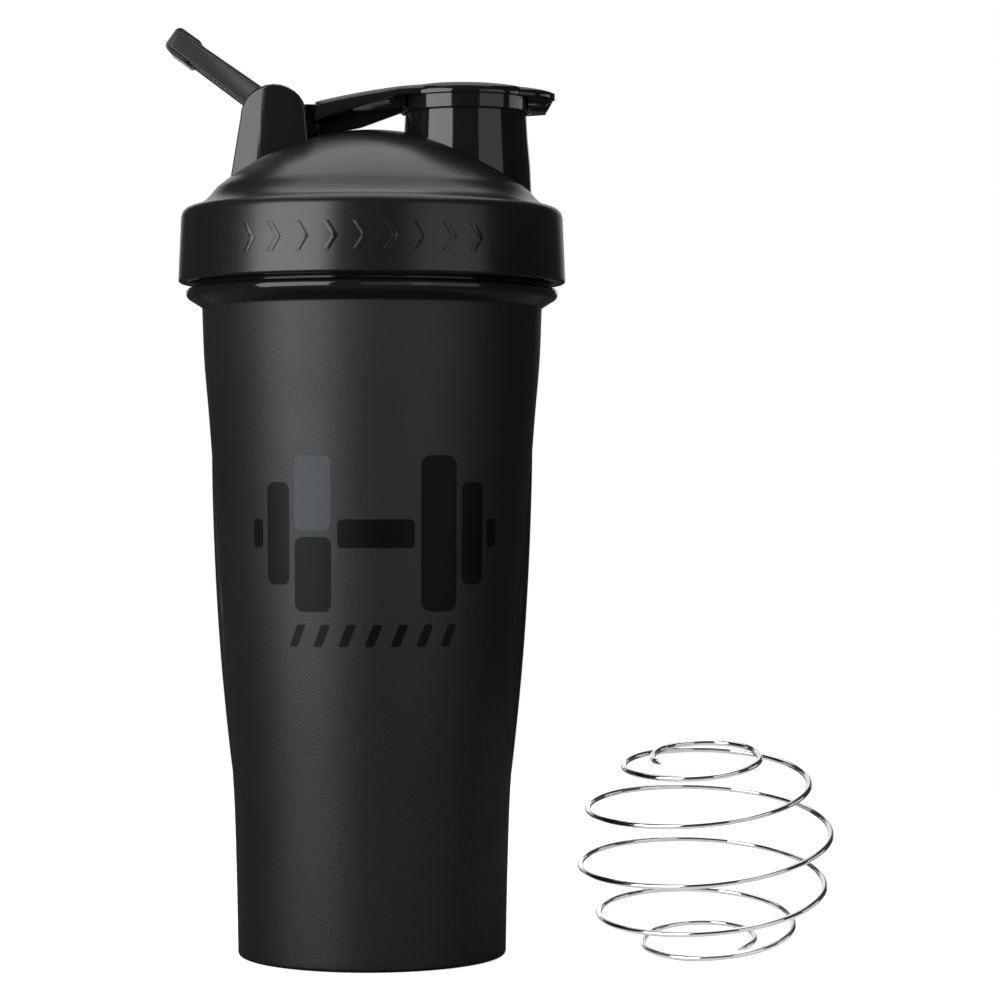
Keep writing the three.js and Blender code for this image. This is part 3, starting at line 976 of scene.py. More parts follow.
    def thread(self, radius: float, foot: float, shift: float, turns: float) -> Form:
        """Two rounded ridges on helices, each thinner towards its ends.

        Args:
            radius: Radius of the ridges' centre lines.
            foot: Height of a ridge's start.
            shift: Turns before the first ridge starts.
            turns: Turns of each ridge.

        Returns:
            The ridges as one form.
        """
        both = Form()
        for start in (0.0, 0.5):
            steps = round(self.thread_steps * turns)
            sections = []
            for step in range(steps + 1):
                turn = step / steps * turns
                angle = (start + shift + turn) * 2 * math.pi
                ease = min(1.0, 0.25 + 6 * min(step, steps - step) / steps)
                bead = self.thread_bead * ease
                height = foot + (shift + turn) * self.thread_lead
                ring = []
                for spoke in range(self.thread_sides):
                    around = spoke / self.thread_sides * 2 * math.pi
                    reach = radius + bead * math.cos(around)
                    up = height + 0.9 * bead * math.sin(around)
                    ring.append(Vector((reach * math.cos(angle), reach * math.sin(angle), up)))
                sections.append(ring)
            both.add(Form().loft(sections))
        return both

    def build(self) -> bpy.types.Object:
        """Builds the cup and its printed marks.

        Returns:
            The cup.
        """
        form = self.shell()
        form.add(self.rib())
        form.add(self.rib().turned(math.pi, "Z"))
        radius, foot = self.neck_radius + self.thread_proud, self.flange_top + self.thread_rise
        form.add(self.thread(radius, foot, 0.0, self.thread_turns))
        moulding = form.piece("cup_moulding", Body.CUP, Slot.CUP, FROSTED_CUP, ("cup",))
        PrintedMarks(self).build()
        return moulding


@dataclass
class PrintedMarks:
    """The print on the cup's front: a training weight over a row of short bars."""

    cup: Cup
    centre: float = 2.5 * MM
    row_centre: float = 1.75 * MM
    middle: float = 107.0 * MM
    film: float = 0.05 * MM
    plate_width: float = 9.5 * MM
    plate_height: float = 38.0 * MM
    small_width: float = 6.5 * MM
    small_height: float = 25.0 * MM
    bar_height: float = 7.0 * MM
    half_grip: float = 9.5 * MM
    gap: float = 1.6 * MM
    row_height: float = 82.2 * MM
    row_bar: float = 5.4 * MM
    row_pitch: float = 6.4 * MM
    row_lean: float = 1.1 * MM
    row_half_width: float = 1.15 * MM

    def block(self, x: float, z: float, width: float, height: float, corner: float) -> Form:
        """A flat rounded block of print, standing upright about a point.

        Args:
            x: Its middle along the wall.
            z: Its middle in height.
            width: Its width along the wall.
            height: Its height.
            corner: Rounding of its corners.

        Returns:
            The block, still flat.
        """
        corners = [
            Corner(x + sx * width / 2, z + sz * height / 2, corner)
            for sx, sz in ((-1, -1), (1, -1), (1, 1), (-1, 1))
        ]
        return Form().prism(corners, -self.film, 2 * self.film)

    def on_wall(self, form: Form) -> Form:
        """Lays flat print on the cup's wall, cut finely enough to follow it."""
        return form.sliced(1.3 * MM, 3.0 * MM).wrapped(self.cup.side_radius)

    def weight(self) -> tuple[Form, Form]:
        """The training weight, in two inks.

        Returns:
            The dark print and the slate print.
        """
        inner = self.half_grip + self.gap + self.plate_width / 2
        outer = inner + self.plate_width / 2 + self.gap + self.small_width / 2
        tip = outer + self.small_width / 2 + self.gap + 1.6 * MM
        dark = self.block(self.centre, self.middle, 2 * self.half_grip, self.bar_height, 1.2 * MM)
        slate = Form()
        dark.add(self.block(
            self.centre + inner, self.middle, self.plate_width, self.plate_height, 2.6 * MM
        ))
        half, step = self.plate_height / 2 - self.gap / 2, self.plate_height / 4 + self.gap / 4
        for form, side in ((dark, -1), (slate, 1)):
            x, z = self.centre - inner, self.middle + side * step
            form.add(self.block(x, z, self.plate_width, half, 2.0 * MM))
        for side in (-1, 1):
            x = self.centre + side * outer
            dark.add(self.block(x, self.middle, self.small_width, self.small_height, 2.0 * MM))
            x = self.centre + side * tip
            dark.add(self.block(x, self.middle, 3.2 * MM, self.bar_height, 1.0 * MM))
        return dark, slate

    def row(self) -> Form:
        """A row of short leaning bars under the weight.

        Returns:
            The bars.
        """
        bars = Form()
        for place in range(-3, 4):
            x = self.row_centre + place * self.row_pitch
            lean, half = self.row_lean, self.row_half_width
            foot, top = self.row_height - self.row_bar / 2, self.row_height + self.row_bar / 2
            corners = [
                Corner(across, up, 0.4 * MM)
                for across, up in (
                    (x - half - lean, foot), (x + half - lean, foot),
                    (x + half + lean, top), (x - half + lean, top),
                )
            ]
            bars.add(Form().prism(corners, -self.film, 2 * self.film))
        return bars

    def build(self) -> None:
        """Builds both prints."""
        dark, slate = self.weight()
        dark.add(self.row())
        self.on_wall(dark).piece("cup_print", Body.CUP, Slot.PRINT, DARK_INK)
        self.on_wall(slate).piece("cup_print_accent", Body.CUP, Slot.ACCENT, SLATE_INK)


# ---- Lid ----


@dataclass
class Hinge:
    """The hinge axis that the cap and the loop share, and the bores on it."""

    x: float = HINGE_X
    z: float = 210.8 * MM
    pin_radius: float = 2.0 * MM
    bore_radius: float = 2.2 * MM

    def rod(self, radius: float, start: float, end: float, rounding: float = 0.0) -> Form:
        """A rod along the hinge axis.

        Args:
            radius: Its radius.
            start: Y of its near end.
            end: Y of its far end.
            rounding: Rounding of its end edges.

        Returns:
            The rod.
        """
        outline = [
            Corner(0, -end), Corner(radius, -end, rounding),
            Corner(radius, -start, rounding), Corner(0, -start),
        ]
        return Form().spin(outline, 48).turned(math.pi / 2, "X").moved(self.x, 0, self.z)


@dataclass
class Lid:
    """The screw lid: its ring, dome, spout, hinge ears, inner thread and plug lip."""

    cup: Cup
    hinge: Hinge
    bottom: float = field(default_factory=lambda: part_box("lid")[0][2])
    bottom_radius: float = field(default_factory=lambda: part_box("lid")[1][0])
    top_radius: float = 48.3 * MM
    ring_top: float = 188.8 * MM
    inner_radius: float = 46.2 * MM
    ceiling: float = 186.2 * MM
    dome_edge: float = 39.5 * MM
    dome_foot: float = 193.6 * MM
    dome_radius: float = 59.5 * MM
    dome_wall: float = 2.2 * MM
    plug_radius: float = 40.4 * MM
    plug_wall: float = 1.8 * MM
    plug_depth: float = 5.6 * MM
    spout_x: float = SPOUT_X
    spout_radius: float = 15.4 * MM
    spout_bore: float = 13.3 * MM
    spout_flare: float = 1.5 * MM
    spout_top: float = 214.8 * MM
    ear_radius: float = 8.3 * MM
    ear_half_span: float = 12.5 * MM
    ear_inner: float = 9.2 * MM
    ear_bulge: float = 60.0 * MM
    ear_bulge_shift: float = 5.0 * MM
    ear_foot: float = 191.6 * MM
    ear_bore_end: float = -11.5 * MM
    pin_start: float = -11.2 * MM
    pin_end: float = 12.3 * MM
    waist: float = 212.8 * MM
    root_lift: float = 0.2 * MM
    corner_height: float = 2.6 * MM
    thread_rise: float = 5.5 * MM
    thread_shift: float = 0.18
    thread_turns: float = 0.42
    mark_pitch: float = 7.3 * MM
    mark_shift: float = 0.5 * MM
    mark_height: float = 178.6 * MM
    mark_half: float = 3.6 * MM
    mark_reach: float = 2.3 * MM
    mark_thickness: float = 1.5 * MM
    steps: int = 192

    @property
    def dome_centre(self) -> float:
        """Height of the centre of the dome's sphere."""
        return self.dome_foot - math.sqrt(self.dome_radius**2 - self.dome_edge**2)

    def dome(self, sphere: float, edge: float, count: int = 36) -> list[Corner]:
        """The dome's line from its edge in to the axis.

        Args:
            sphere: Radius of the sphere.
            edge: Radius where the line starts.
            count: How many stretches it has.

        Returns:
            The corners.
        """
        start = math.asin(edge / sphere)
        angles = [start * (1 - i / count) for i in range(count + 1)]
        centre = self.dome_centre
        return [Corner(sphere * math.sin(a), centre + sphere * math.cos(a)) for a in angles]

    def ring_radius(self, z: float) -> float:
        """Outer radius of the ring at a height, below its rounded corner."""
        share = (z - self.bottom) / (self.ring_top - self.corner_height - self.bottom)
        return self.bottom_radius + (self.top_radius - self.bottom_radius) * share

    def outside(self) -> Form:
        """The solid outer form of the ring, the concave shoulder and the dome.

        Returns:
            The solid form.
        """
        shoulder_start = self.top_radius - 3.2 * MM
        shoulder = []
        for i in range(1, 10):
            share = i / 10
            across = shoulder_start + (self.dome_edge - shoulder_start) * share
            sag = 0.75 * MM * math.sin(math.pi * share)
            up = self.ring_top + (self.dome_foot - self.ring_top) * share - sag
            shoulder.append(Corner(across, up))
        outline = [
            Corner(0, self.bottom),
            Corner(self.bottom_radius, self.bottom, 0.75 * MM),
            Corner(self.top_radius, self.ring_top - self.corner_height),
            Corner(self.top_radius - 0.35 * MM, self.ring_top - 1.35 * MM),
            Corner(self.top_radius - 1.15 * MM, self.ring_top - 0.5 * MM),
            Corner(self.top_radius - 2.2 * MM, self.ring_top - 0.05 * MM),
            *shoulder,
            *self.dome(self.dome_radius, self.dome_edge),
        ]
        return Form().spin(outline, self.steps)

    def hollow(self) -> Form:
        """The space inside the ring, the plug lip and the dome.

        Returns:
            The cutting form.
        """
        outline = [
            Corner(0, self.bottom - 2 * MM),
            Corner(self.inner_radius + 0.5 * MM, self.bottom - 0.5 * MM),
            Corner(self.inner_radius, self.bottom + 0.6 * MM),
            Corner(self.inner_radius, self.ceiling, 0.6 * MM),
            Corner(self.plug_radius, self.ceiling),
            Corner(self.plug_radius - 0.3 * MM, self.ceiling - self.plug_depth, 0.5 * MM),
            Corner(self.plug_radius - self.plug_wall, self.ceiling - self.plug_depth, 0.5 * MM),
            *self.dome(self.dome_radius - self.dome_wall, self.plug_radius - self.plug_wall, 24),
        ]
        return Form().spin(outline, self.steps)

    def spout(self) -> Form:
        """The solid outer form of the drinking spout, wider at its root.

        Returns:
            The solid form.
        """
        root = self.ceiling + self.dome_wall
        tall = self.waist - root
        outline = [
            Corner(0, root),
            Corner(self.spout_radius + self.spout_flare, root),
            Corner(self.spout_radius + 0.7 * self.spout_flare, root + 0.44 * tall, 30 * MM),
            Corner(self.spout_radius + 0.25 * self.spout_flare, root + 0.74 * tall, 20 * MM),
            Corner(self.spout_radius, root + tall),
            Corner(self.spout_radius, self.spout_top, 0.7 * MM),
            Corner(0, self.spout_top),
        ]
        return Form().spin(outline, 112).moved(self.spout_x)

    def bore(self, radius: float) -> Form:
        """A bore down the spout with a rounded lip, as a cutting form.

        Args:
            radius: The bore's radius.

        Returns:
            The cutting form.
        """
        outline = [
            Corner(0, self.ceiling - 2 * MM),
            Corner(radius, self.ceiling - 2 * MM),
            Corner(radius, self.spout_top - 0.7 * MM, 1.2 * MM),
            Corner(radius + 0.6 * MM, self.spout_top + 0.3 * MM),
            Corner(0, self.spout_top + 0.3 * MM),
        ]
        return Form().spin(outline, 112).moved(self.spout_x)

    def ear(self, start: float, end: float) -> Form:
        """One D-shaped hinge ear between two places along Y.

        Args:
            start: Y of its near face.
            end: Y of its far face.

        Returns:
            The ear.
        """
        x, z, radius = self.hinge.x, self.hinge.z, self.ear_radius
        outline = [
            Corner(x - radius - 3.2 * MM, self.ear_foot),
            Corner(x + radius + 1.6 * MM, self.ear_foot),
            Corner(x + radius, z, 12 * MM),
            Corner(x + radius, z + radius, radius - HAIR),
            Corner(x - radius, z + radius, radius - HAIR),
            Corner(x - radius, z, 12 * MM),
        ]
        form = Form().prism(outline, start, end, rim=0.75 * MM, segments=4)
        form.sliced(1.2 * MM, 40 * MM)
        outer = 1 if end > 0 else -1
        middle = x + self.ear_bulge_shift

        def place(point: Vector) -> Vector:
            """Bows the ear's outer face, so that it thins towards its two sides.

            Args:
                point: The point.

            Returns:
                Its new place.
            """
            share = (abs(point.y) - self.ear_inner) / (self.ear_half_span - self.ear_inner)
            sag = (point.x - middle) ** 2 / (2 * self.ear_bulge)
            return Vector((point.x, point.y - outer * share * sag, point.z))

        return form.shaped(place)

    def emboss(self) -> Form:
        """A row of raised arrow marks along the front of the ring.

        Returns:
            The marks.
        """
        marks = Form()
        half, reach, thick = self.mark_half, self.mark_reach, self.mark_thickness
        for place in range(-4, 5):
            x, z = place * self.mark_pitch - self.mark_shift, self.mark_height
            corners = [
                Corner(across, up, 0.25 * MM)
                for across, up in (
                    (x - reach, z - half), (x - reach + thick, z - half), (x + thick, z),
                    (x - reach + thick, z + half), (x - reach, z + half), (x, z),
                )
            ]
            marks.add(Form().prism(corners, -0.22 * MM, 0.5 * MM, rim=0.1 * MM, segments=2))
        return marks.sliced(1.5 * MM, 2.5 * MM).wrapped(self.ring_radius)

    def build(self) -> None:
        """Builds the lid and the hinge pin."""
        cut = "DIFFERENCE"
        wide_bore = self.bore(self.spout_bore + 0.9 * MM)
        form = self.outside().carve([(self.hollow(), cut), (wide_bore, cut)])
        form.add(self.spout().carve([
            (self.hollow().moved(z=self.root_lift), cut), (self.bore(self.spout_bore), cut),
        ]))
        inner, outer = self.ear_inner, self.ear_half_span
        for start, end in ((-outer, -inner), (inner, outer)):
            hole = self.hinge.rod(self.hinge.bore_radius, self.ear_bore_end, outer + 1.0 * MM)
            form.add(self.ear(start, end).carve([
                (self.hollow().moved(z=self.root_lift), cut), (hole, cut),
            ]))
        form.add(self.cup.thread(
            self.inner_radius - self.cup.thread_proud, self.cup.flange_top + self.thread_rise,
            self.thread_shift, self.thread_turns,
        ))
        form.add(self.emboss())
        form.piece("lid_moulding", Body.LID, Slot.LID, SATIN_LID, ("lid",))
        pin = self.hinge.rod(self.hinge.pin_radius, self.pin_start, self.pin_end, 0.4 * MM)
        pin.piece("hinge_rod", Body.LID, Slot.PIN, HINGE_PLASTIC, ("hinge_pin",))


# ---- Flip cap ----


@dataclass
class FlipCap:
    """The flip cap: an arched arm into a round plate with a skirt, a rib and a thumb tab."""

    hinge: Hinge
    spout_x: float = SPOUT_X
    plate_top: float = 219.2 * MM
    plate_bottom: float = 216.3 * MM
    plate_radius: float = 17.2 * MM
    skirt_bottom: float = 212.8 * MM
    skirt_inner: float = 15.7 * MM
    skirt_outer: float = 16.6 * MM
    root_x: float = -13.8 * MM
    root_top: float = 214.9 * MM
    arm_half_width: float = 12.0 * MM
    arm_wall: float = 1.5 * MM
    arm_run: float = 6.0 * MM
    tip_x: float = field(default_factory=lambda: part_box("flip_cap")[1][0])
    tab_angle: float = math.radians(38)
    arm_angle: float = math.radians(128)
    rib_thickness: float = 2.2 * MM
    knuckle_radius: float = 4.0 * MM
    knuckle_half_width: float = 6.0 * MM
    dome_top: float = 208.6 * MM
    edge: float = 2.3 * MM
    flat_reach: float = 6 * MM
    arch_pull: float = 24 * MM
    shell_stations: int = 110
    web_stations: int = 24
    wedge_rows: int = 12

    @property
    def arch_end(self) -> float:
        """Where the arm's arch meets the skirt."""
        return self.spout_x - self.skirt_outer

    def half_width(self, x: float) -> float:
        """Half of the cap's width at a place along X.

        Args:
            x: The place.

        Returns:
            The half width, from the arm through the round plate to the tab's point.
        """
        radius = self.plate_radius
        join_x = self.spout_x + radius * math.cos(self.arm_angle)
        join_y = radius * math.sin(self.arm_angle)
        straight = self.root_x + self.arm_run
        if x <= straight:
            return self.arm_half_width
        if x <= join_x:
            share = (x - straight) / (join_x - straight)
            ease = share * share * (3 - 2 * share) * 0.4 + share * 0.6
            return self.arm_half_width + (join_y - self.arm_half_width) * ease
        tab_x = self.spout_x + radius * math.cos(self.tab_angle)
        if x <= tab_x:
            return math.sqrt(radius**2 - (x - self.spout_x) ** 2)
        tab_y = radius * math.sin(self.tab_angle)
        curve = Arch((tab_x, tab_y), (self.tip_x - 0.4 * MM, 7.0 * MM), (self.tip_x, 0.0))
        return max(0.15 * MM, curve.height(x))

    def crown(self, x: float) -> float:
        """Height of the cap's top at a place along X.

        Args:
            x: The place along X.

        Returns:
            The height.
        """
        back = self.root_x - self.arm_run
        flat_start = self.spout_x - self.flat_reach
        if x > flat_start:
            curve = Arch(
                (flat_start, self.plate_top),
                (self.spout_x + 14 * MM, self.plate_top + 0.1 * MM),
                (self.tip_x + 1 * MM, self.plate_top - 1.4 * MM),
            )
            return min(curve.height(x), self.plate_top)
        curve = Arch(
            (back, self.root_top - 1.6 * MM),
            (self.spout_x - self.arch_pull, self.plate_top - 0.4 * MM),
            (flat_start, self.plate_top),
        )
        return min(curve.height(x), self.plate_top)

    def wall_foot(self, x: float) -> float:
        """Height of the lower edge of the arm's side walls.

        Args:
            x: The place along X.

        Returns:
            The height.
        """
        if x >= self.arch_end:
            return self.plate_bottom
        return Arch(
            (self.root_x - self.arm_run, self.hinge.z - 3.2 * MM),
            (self.root_x + 8 * MM, self.plate_bottom - 3.4 * MM),
            (self.arch_end, self.plate_bottom),
        ).height(x)

    def channel_top(self, x: float) -> float:
        """Height of the underside between the arm's side walls.

        Args:
            x: The place along X.

        Returns:
            The height.
        """
        curve = Arch(
            (self.root_x - self.arm_run, self.root_top - 4.7 * MM),
            (self.spout_x - self.arch_pull, self.plate_bottom - 0.3 * MM),
            (self.arch_end + 2 * MM, self.plate_bottom),
        )
        return max(curve.height(x), self.wall_foot(x) + 0.03 * MM)

    def section(self, x: float) -> list[Vector]:
        """The cap's section at a place along X: an upside-down channel with rounded edges.

        Args:
            x: The place.

        Returns:
            The section's points, the same number at every place.
        """
        width = self.half_width(x)
        top, foot, ceiling = self.crown(x), self.wall_foot(x), self.channel_top(x)
        round_top = min(self.edge, 0.45 * width, 0.78 * (top - foot))
        round_foot = min(0.4 * MM, 0.2 * width, 0.2 * (top - foot))
        inner = max(width - self.arm_wall, 0.3 * width)
        half = [(0.0, top), (0.5 * (width - round_top), top)]
        for i in range(6):
            right, up = math.sin(i / 5 * math.pi / 2), math.cos(i / 5 * math.pi / 2)
            half.append((width - round_top + round_top * right, top - round_top + round_top * up))
        for i in range(4):
            right, down = math.cos(i / 3 * math.pi / 2), math.sin(i / 3 * math.pi / 2)
            across = width - round_foot + round_foot * right
            half.append((across, foot + round_foot - round_foot * down))
        half += [(inner, foot), (inner - 0.02 * MM, ceiling), (0.5 * inner, ceiling)]
        left = [(-across, up) for across, up in reversed(half[1:])]
        return [Vector((x, across, up)) for across, up in [*half, (0.0, ceiling), *left]]

    @staticmethod
    def mirrored(x: float, right: Sequence[tuple[float, float]]) -> list[Vector]:
        """A section at a place along X, from its right half and that half's mirror image."""
        left = [(-across, up) for across, up in reversed(right)]
        return [Vector((x, across, up)) for across, up in [*right, *left]]

    def shell(self) -> Form:
        """The arm, the plate and the tab as one lofted shell.

        Returns:
            The shell.
        """
        stations = []
        for i in range(self.shell_stations + 1):
            share = i / self.shell_stations
            eased = share + 0.12 * math.sin(math.pi * share) * share
            stations.append(self.root_x + (self.tip_x - self.root_x) * min(1.0, eased))
        end = self.tip_x - 0.02 * MM
        stations = sorted({round(min(x, end), 7) for x in stations})
        return Form().loft([self.section(x) for x in stations])

    def skirt(self) -> Form:
        """The ring that grips the spout.

        Returns:
            The ring.
        """
        top = self.plate_bottom + 0.8 * MM
        outline = [
            Corner(self.skirt_inner, self.skirt_bottom, 0.3 * MM),
            Corner(self.skirt_outer, self.skirt_bottom, 0.4 * MM),
            Corner(self.skirt_outer, top),
            Corner(self.skirt_inner, top),
        ]
        return Form().spin(outline, 128, closed=True).moved(self.spout_x)

    def centre_rib(self) -> Form:
        """The upright rib along the middle of the arm's underside.

        Returns:
            The rib.
        """
        corners = [
            Corner(self.root_x - 1 * MM, self.hinge.z - 3.9 * MM),
            Corner(self.arch_end - 10 * MM, self.dome_top + 0.75 * MM, 6 * MM),
            Corner(self.arch_end, self.skirt_bottom + 0.2 * MM),
            Corner(self.arch_end + 0.5 * MM, self.plate_bottom + 0.8 * MM),
            Corner(self.root_x - 1 * MM, self.root_top - 1.2 * MM),
        ]
        return Form().prism(corners, -self.rib_thickness / 2, self.rib_thickness / 2, rim=0.3 * MM)

    def gusset(self) -> Form:
        """The web that widens from the rib into the skirt, under the arm's arch.

        Returns:
            The web.
        """
        start, end = self.root_x + 4.3 * MM, self.arch_end + 1.5 * MM
        sections = []
        for i in range(self.web_stations + 1):
            share = i / self.web_stations
            x = start + (end - start) * share
            wide = self.rib_thickness / 2 + 8.2 * MM * share**2
            low = self.wall_foot(x) - 2.5 * MM * min(1.0, 1.2 * share)
            high = 0.4 * MM + (self.plate_bottom if x > self.arch_end else self.channel_top(x))
            right = [(wide - 0.25 * MM, low), (wide, low + 0.25 * MM), (wide, high)]
            sections.append(self.mirrored(x, right))
        return Form().loft(sections)

    def thumb_block(self) -> Form:
        """The wedge under the tab, hollowed on both sides where a thumb lifts it.

        Returns:
            The wedge.
        """
        start = self.spout_x + self.skirt_outer - 0.8 * MM
        end, heel = self.tip_x - 0.12 * MM, self.tip_x - 2.3 * MM
        low = self.skirt_bottom + 0.15 * MM
        sections = []
        for i in range(self.web_stations + 1):
            x = start + (end - start) * i / self.web_stations
            beyond = max(0.0, (x - heel) / (end - heel))
            foot = low + (self.plate_top - 2.2 * MM - low) * beyond**1.15
            top = self.crown(x) - 0.7 * MM
            wide = max(0.25 * MM, self.half_width(x) - 0.35 * MM)
            room = min(1.0, 0.35 + 0.65 * (x - start) / (heel - start))
            right = []
            for j in range(self.wedge_rows + 1):
                up = j / self.wedge_rows
                scoop = 1 - 0.55 * room * math.sin(math.pi * min(1.0, 0.12 + 0.88 * up)) ** 0.8
                belly = 0.72 + 0.28 * up
                right.append((wide * scoop * belly, foot + (top - foot) * up))
            sections.append(self.mirrored(x, right))
        return Form().loft(sections)

    def knuckle(self) -> Form:
        """The knuckle on the pin, with the wall that closes the arm's root.

        Returns:
            The knuckle and the wall.
        """
        x, z, radius = self.hinge.x, self.hinge.z, self.knuckle_radius
        join = self.root_x + 0.5 * MM
        corners = [
            Corner(x, z - radius), Corner(join, z - radius + 0.1 * MM),
            Corner(join, self.root_top - 0.2 * MM), Corner(x, z + radius),
            Corner(x - radius, z + radius, radius - HAIR),
            Corner(x - radius, z - radius, radius - HAIR),
        ]
        half = self.knuckle_half_width
        form = Form().prism(corners, -half, half, rim=0.35 * MM)
        form.carve([(self.hinge.rod(self.hinge.bore_radius, -20 * MM, 20 * MM), "DIFFERENCE")])
        wall = [
            Corner(self.root_x - 0.05 * MM, z - 1.2 * MM),
            Corner(self.root_x + self.arm_wall, z - 0.4 * MM),
            Corner(self.root_x + self.arm_wall, self.root_top - 0.2 * MM),
            Corner(self.root_x - 0.05 * MM, self.root_top - 0.6 * MM),
        ]
        wide = self.arm_half_width - 0.4 * MM
        return form.add(Form().prism(wall, -wide, wide, rim=0.2 * MM))

    def build(self) -> bpy.types.Object:
        """Builds the cap.

        Returns:
            The cap.
        """
        form = self.shell()
        for make in (self.skirt, self.centre_rib, self.gusset, self.thumb_block, self.knuckle):
            form.add(make())
        return form.piece("cap_moulding", Body.FLIP_CAP, Slot.CAP, GLOSS_CAP, ("flip_cap",))


# ---- Carry loop ----


@dataclass
class CarryLoop:
    """The carry loop: two arms from the hinge pin to a thicker grip."""

    hinge: Hinge
    length: float = 33.2 * MM
    angle: float = math.radians(144.3)
    offset: float = -1.7 * MM
    root_height: float = 6.0 * MM
    end_height: float = 5.0 * MM
    arm_width: float = 2.6 * MM
    half_width: float = 8.9 * MM
    eye: float = 3.8 * MM
    neck: float = 4.5 * MM
    grip_length: float = 7.6 * MM
    grip_height: float = 6.6 * MM
    grip_corner: float = 1.5 * MM
    grip_inset: float = 0.7 * MM
    arm_inset: float = 0.9 * MM

    @property
    def grip_start(self) -> float:
        """Where the grip starts, from the hinge axis."""
        return self.length - self.grip_length

    def arm(self, start: float, end: float) -> Form:
        """One arm between two places along Y.

        Args:
            start: Y of its near face.
            end: Y of its far face.

        Returns:
            The arm, drawn along +X from the hinge axis.
        """
        middle, far = self.offset, self.length - self.arm_inset
        low, high = middle - self.end_height / 2, middle + self.end_height / 2
        root_low, root_high = middle - self.root_height / 2, middle + self.root_height / 2
        corners = [
            Corner(-self.eye, -self.eye, self.eye - HAIR), Corner(0, -self.eye),
            Corner(self.neck, root_low, 6 * MM), Corner(far, low, 1.4 * MM),
            Corner(far, high, 1.4 * MM), Corner(self.neck, root_high, 6 * MM), Corner(0, self.eye),
            Corner(-self.eye, self.eye, self.eye - HAIR),
        ]
        return Form().prism(corners, start, end, rim=0.5 * MM, segments=4)

    def grip(self) -> Form:
        """The rounded bar across the arms' ends, a little taller than they are.

        Returns:
            The bar, drawn along +X from the hinge axis.
        """
        low, high = self.offset - self.grip_height / 2, self.offset + self.grip_height / 2
        corners = [
            Corner(self.grip_start, low, 1.2 * MM), Corner(self.length, low, self.grip_corner),
            Corner(self.length, high, self.grip_corner), Corner(self.grip_start, high, 1.2 * MM),
        ]
        half = self.half_width - self.grip_inset
        return Form().prism(corners, -half, half, rim=0.35 * MM)

    def build(self) -> bpy.types.Object:
        """Builds the loop and swings it to its place.

        Returns:
            The loop.
        """
        form = self.arm(-self.half_width, -self.half_width + self.arm_width)
        form.add(self.arm(self.half_width - self.arm_width, self.half_width))
        form.turned(-self.angle, "Y").moved(self.hinge.x, 0, self.hinge.z)
        form.carve([(self.hinge.rod(self.hinge.bore_radius, -20 * MM, 20 * MM), "DIFFERENCE")])
        form.add(self.grip().turned(-self.angle, "Y").moved(self.hinge.x, 0, self.hinge.z))
        return form.piece("loop_moulding", Body.CARRY_LOOP, Slot.LOOP, GLOSS_LOOP, ("carry_loop",))


# ---- Seals ----


@dataclass
class Seals:
    """The ring gasket in the lid and the soft plug under the cap."""

    plug_x: float = SPOUT_X
    plug_radius: float = 13.0 * MM
    dish: float = 1.6 * MM
    gasket_inner: float = 40.7 * MM

    def gasket(self) -> None:
        """Builds the gasket with its two raised lips."""
        low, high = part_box("lid_seal")
        outer, inner = high[0], self.gasket_inner
        bottom, top = low[2], high[2]
        middle = (outer + inner) / 2
        corners = [
            Corner(inner, bottom, 0.4 * MM), Corner(outer, bottom, 0.4 * MM),
            Corner(outer, top, 0.4 * MM), Corner(middle + 1.1 * MM, top, 0.2 * MM),
            Corner(middle + 0.7 * MM, top - 0.4 * MM, 0.2 * MM),
            Corner(middle - 0.7 * MM, top - 0.4 * MM, 0.2 * MM),
            Corner(middle - 1.1 * MM, top, 0.2 * MM), Corner(inner, top, 0.4 * MM),
        ]
        Form().spin(corners, 160, closed=True).piece(
            "gasket", Body.LID_SEAL, Slot.SEAL, SOFT_SEAL, ("lid_seal",)
        )

    def plug(self) -> None:
        """Builds the plug that closes the spout's bore."""
        low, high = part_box("spout_seal")
        bottom, top, outer = low[2], high[2], self.plug_radius
        corners = [
            Corner(0, top - self.dish), Corner(outer - 2 * self.dish, top - self.dish, 0.4 * MM),
            Corner(outer - 1.5 * self.dish, bottom + 0.4 * MM, 0.3 * MM),
            Corner(outer - self.dish, bottom, 0.3 * MM),
            Corner(outer - self.dish / 2, bottom, 0.5 * MM),
            Corner(outer, bottom + 1.2 * MM, 0.8 * MM), Corner(outer, top - 1.5 * MM, 0.4 * MM),
            Corner(outer - 0.6 * MM, top, 0.3 * MM), Corner(0, top),
        ]
        form = Form().spin(corners, 112).moved(self.plug_x)
        form.piece("spout_plug", Body.FLIP_CAP, Slot.SEAL, SOFT_SEAL, ("spout_seal",))

    def build(self) -> None:
        """Builds both seals."""
        self.gasket()
        self.plug()


# ---- Wire ball ----


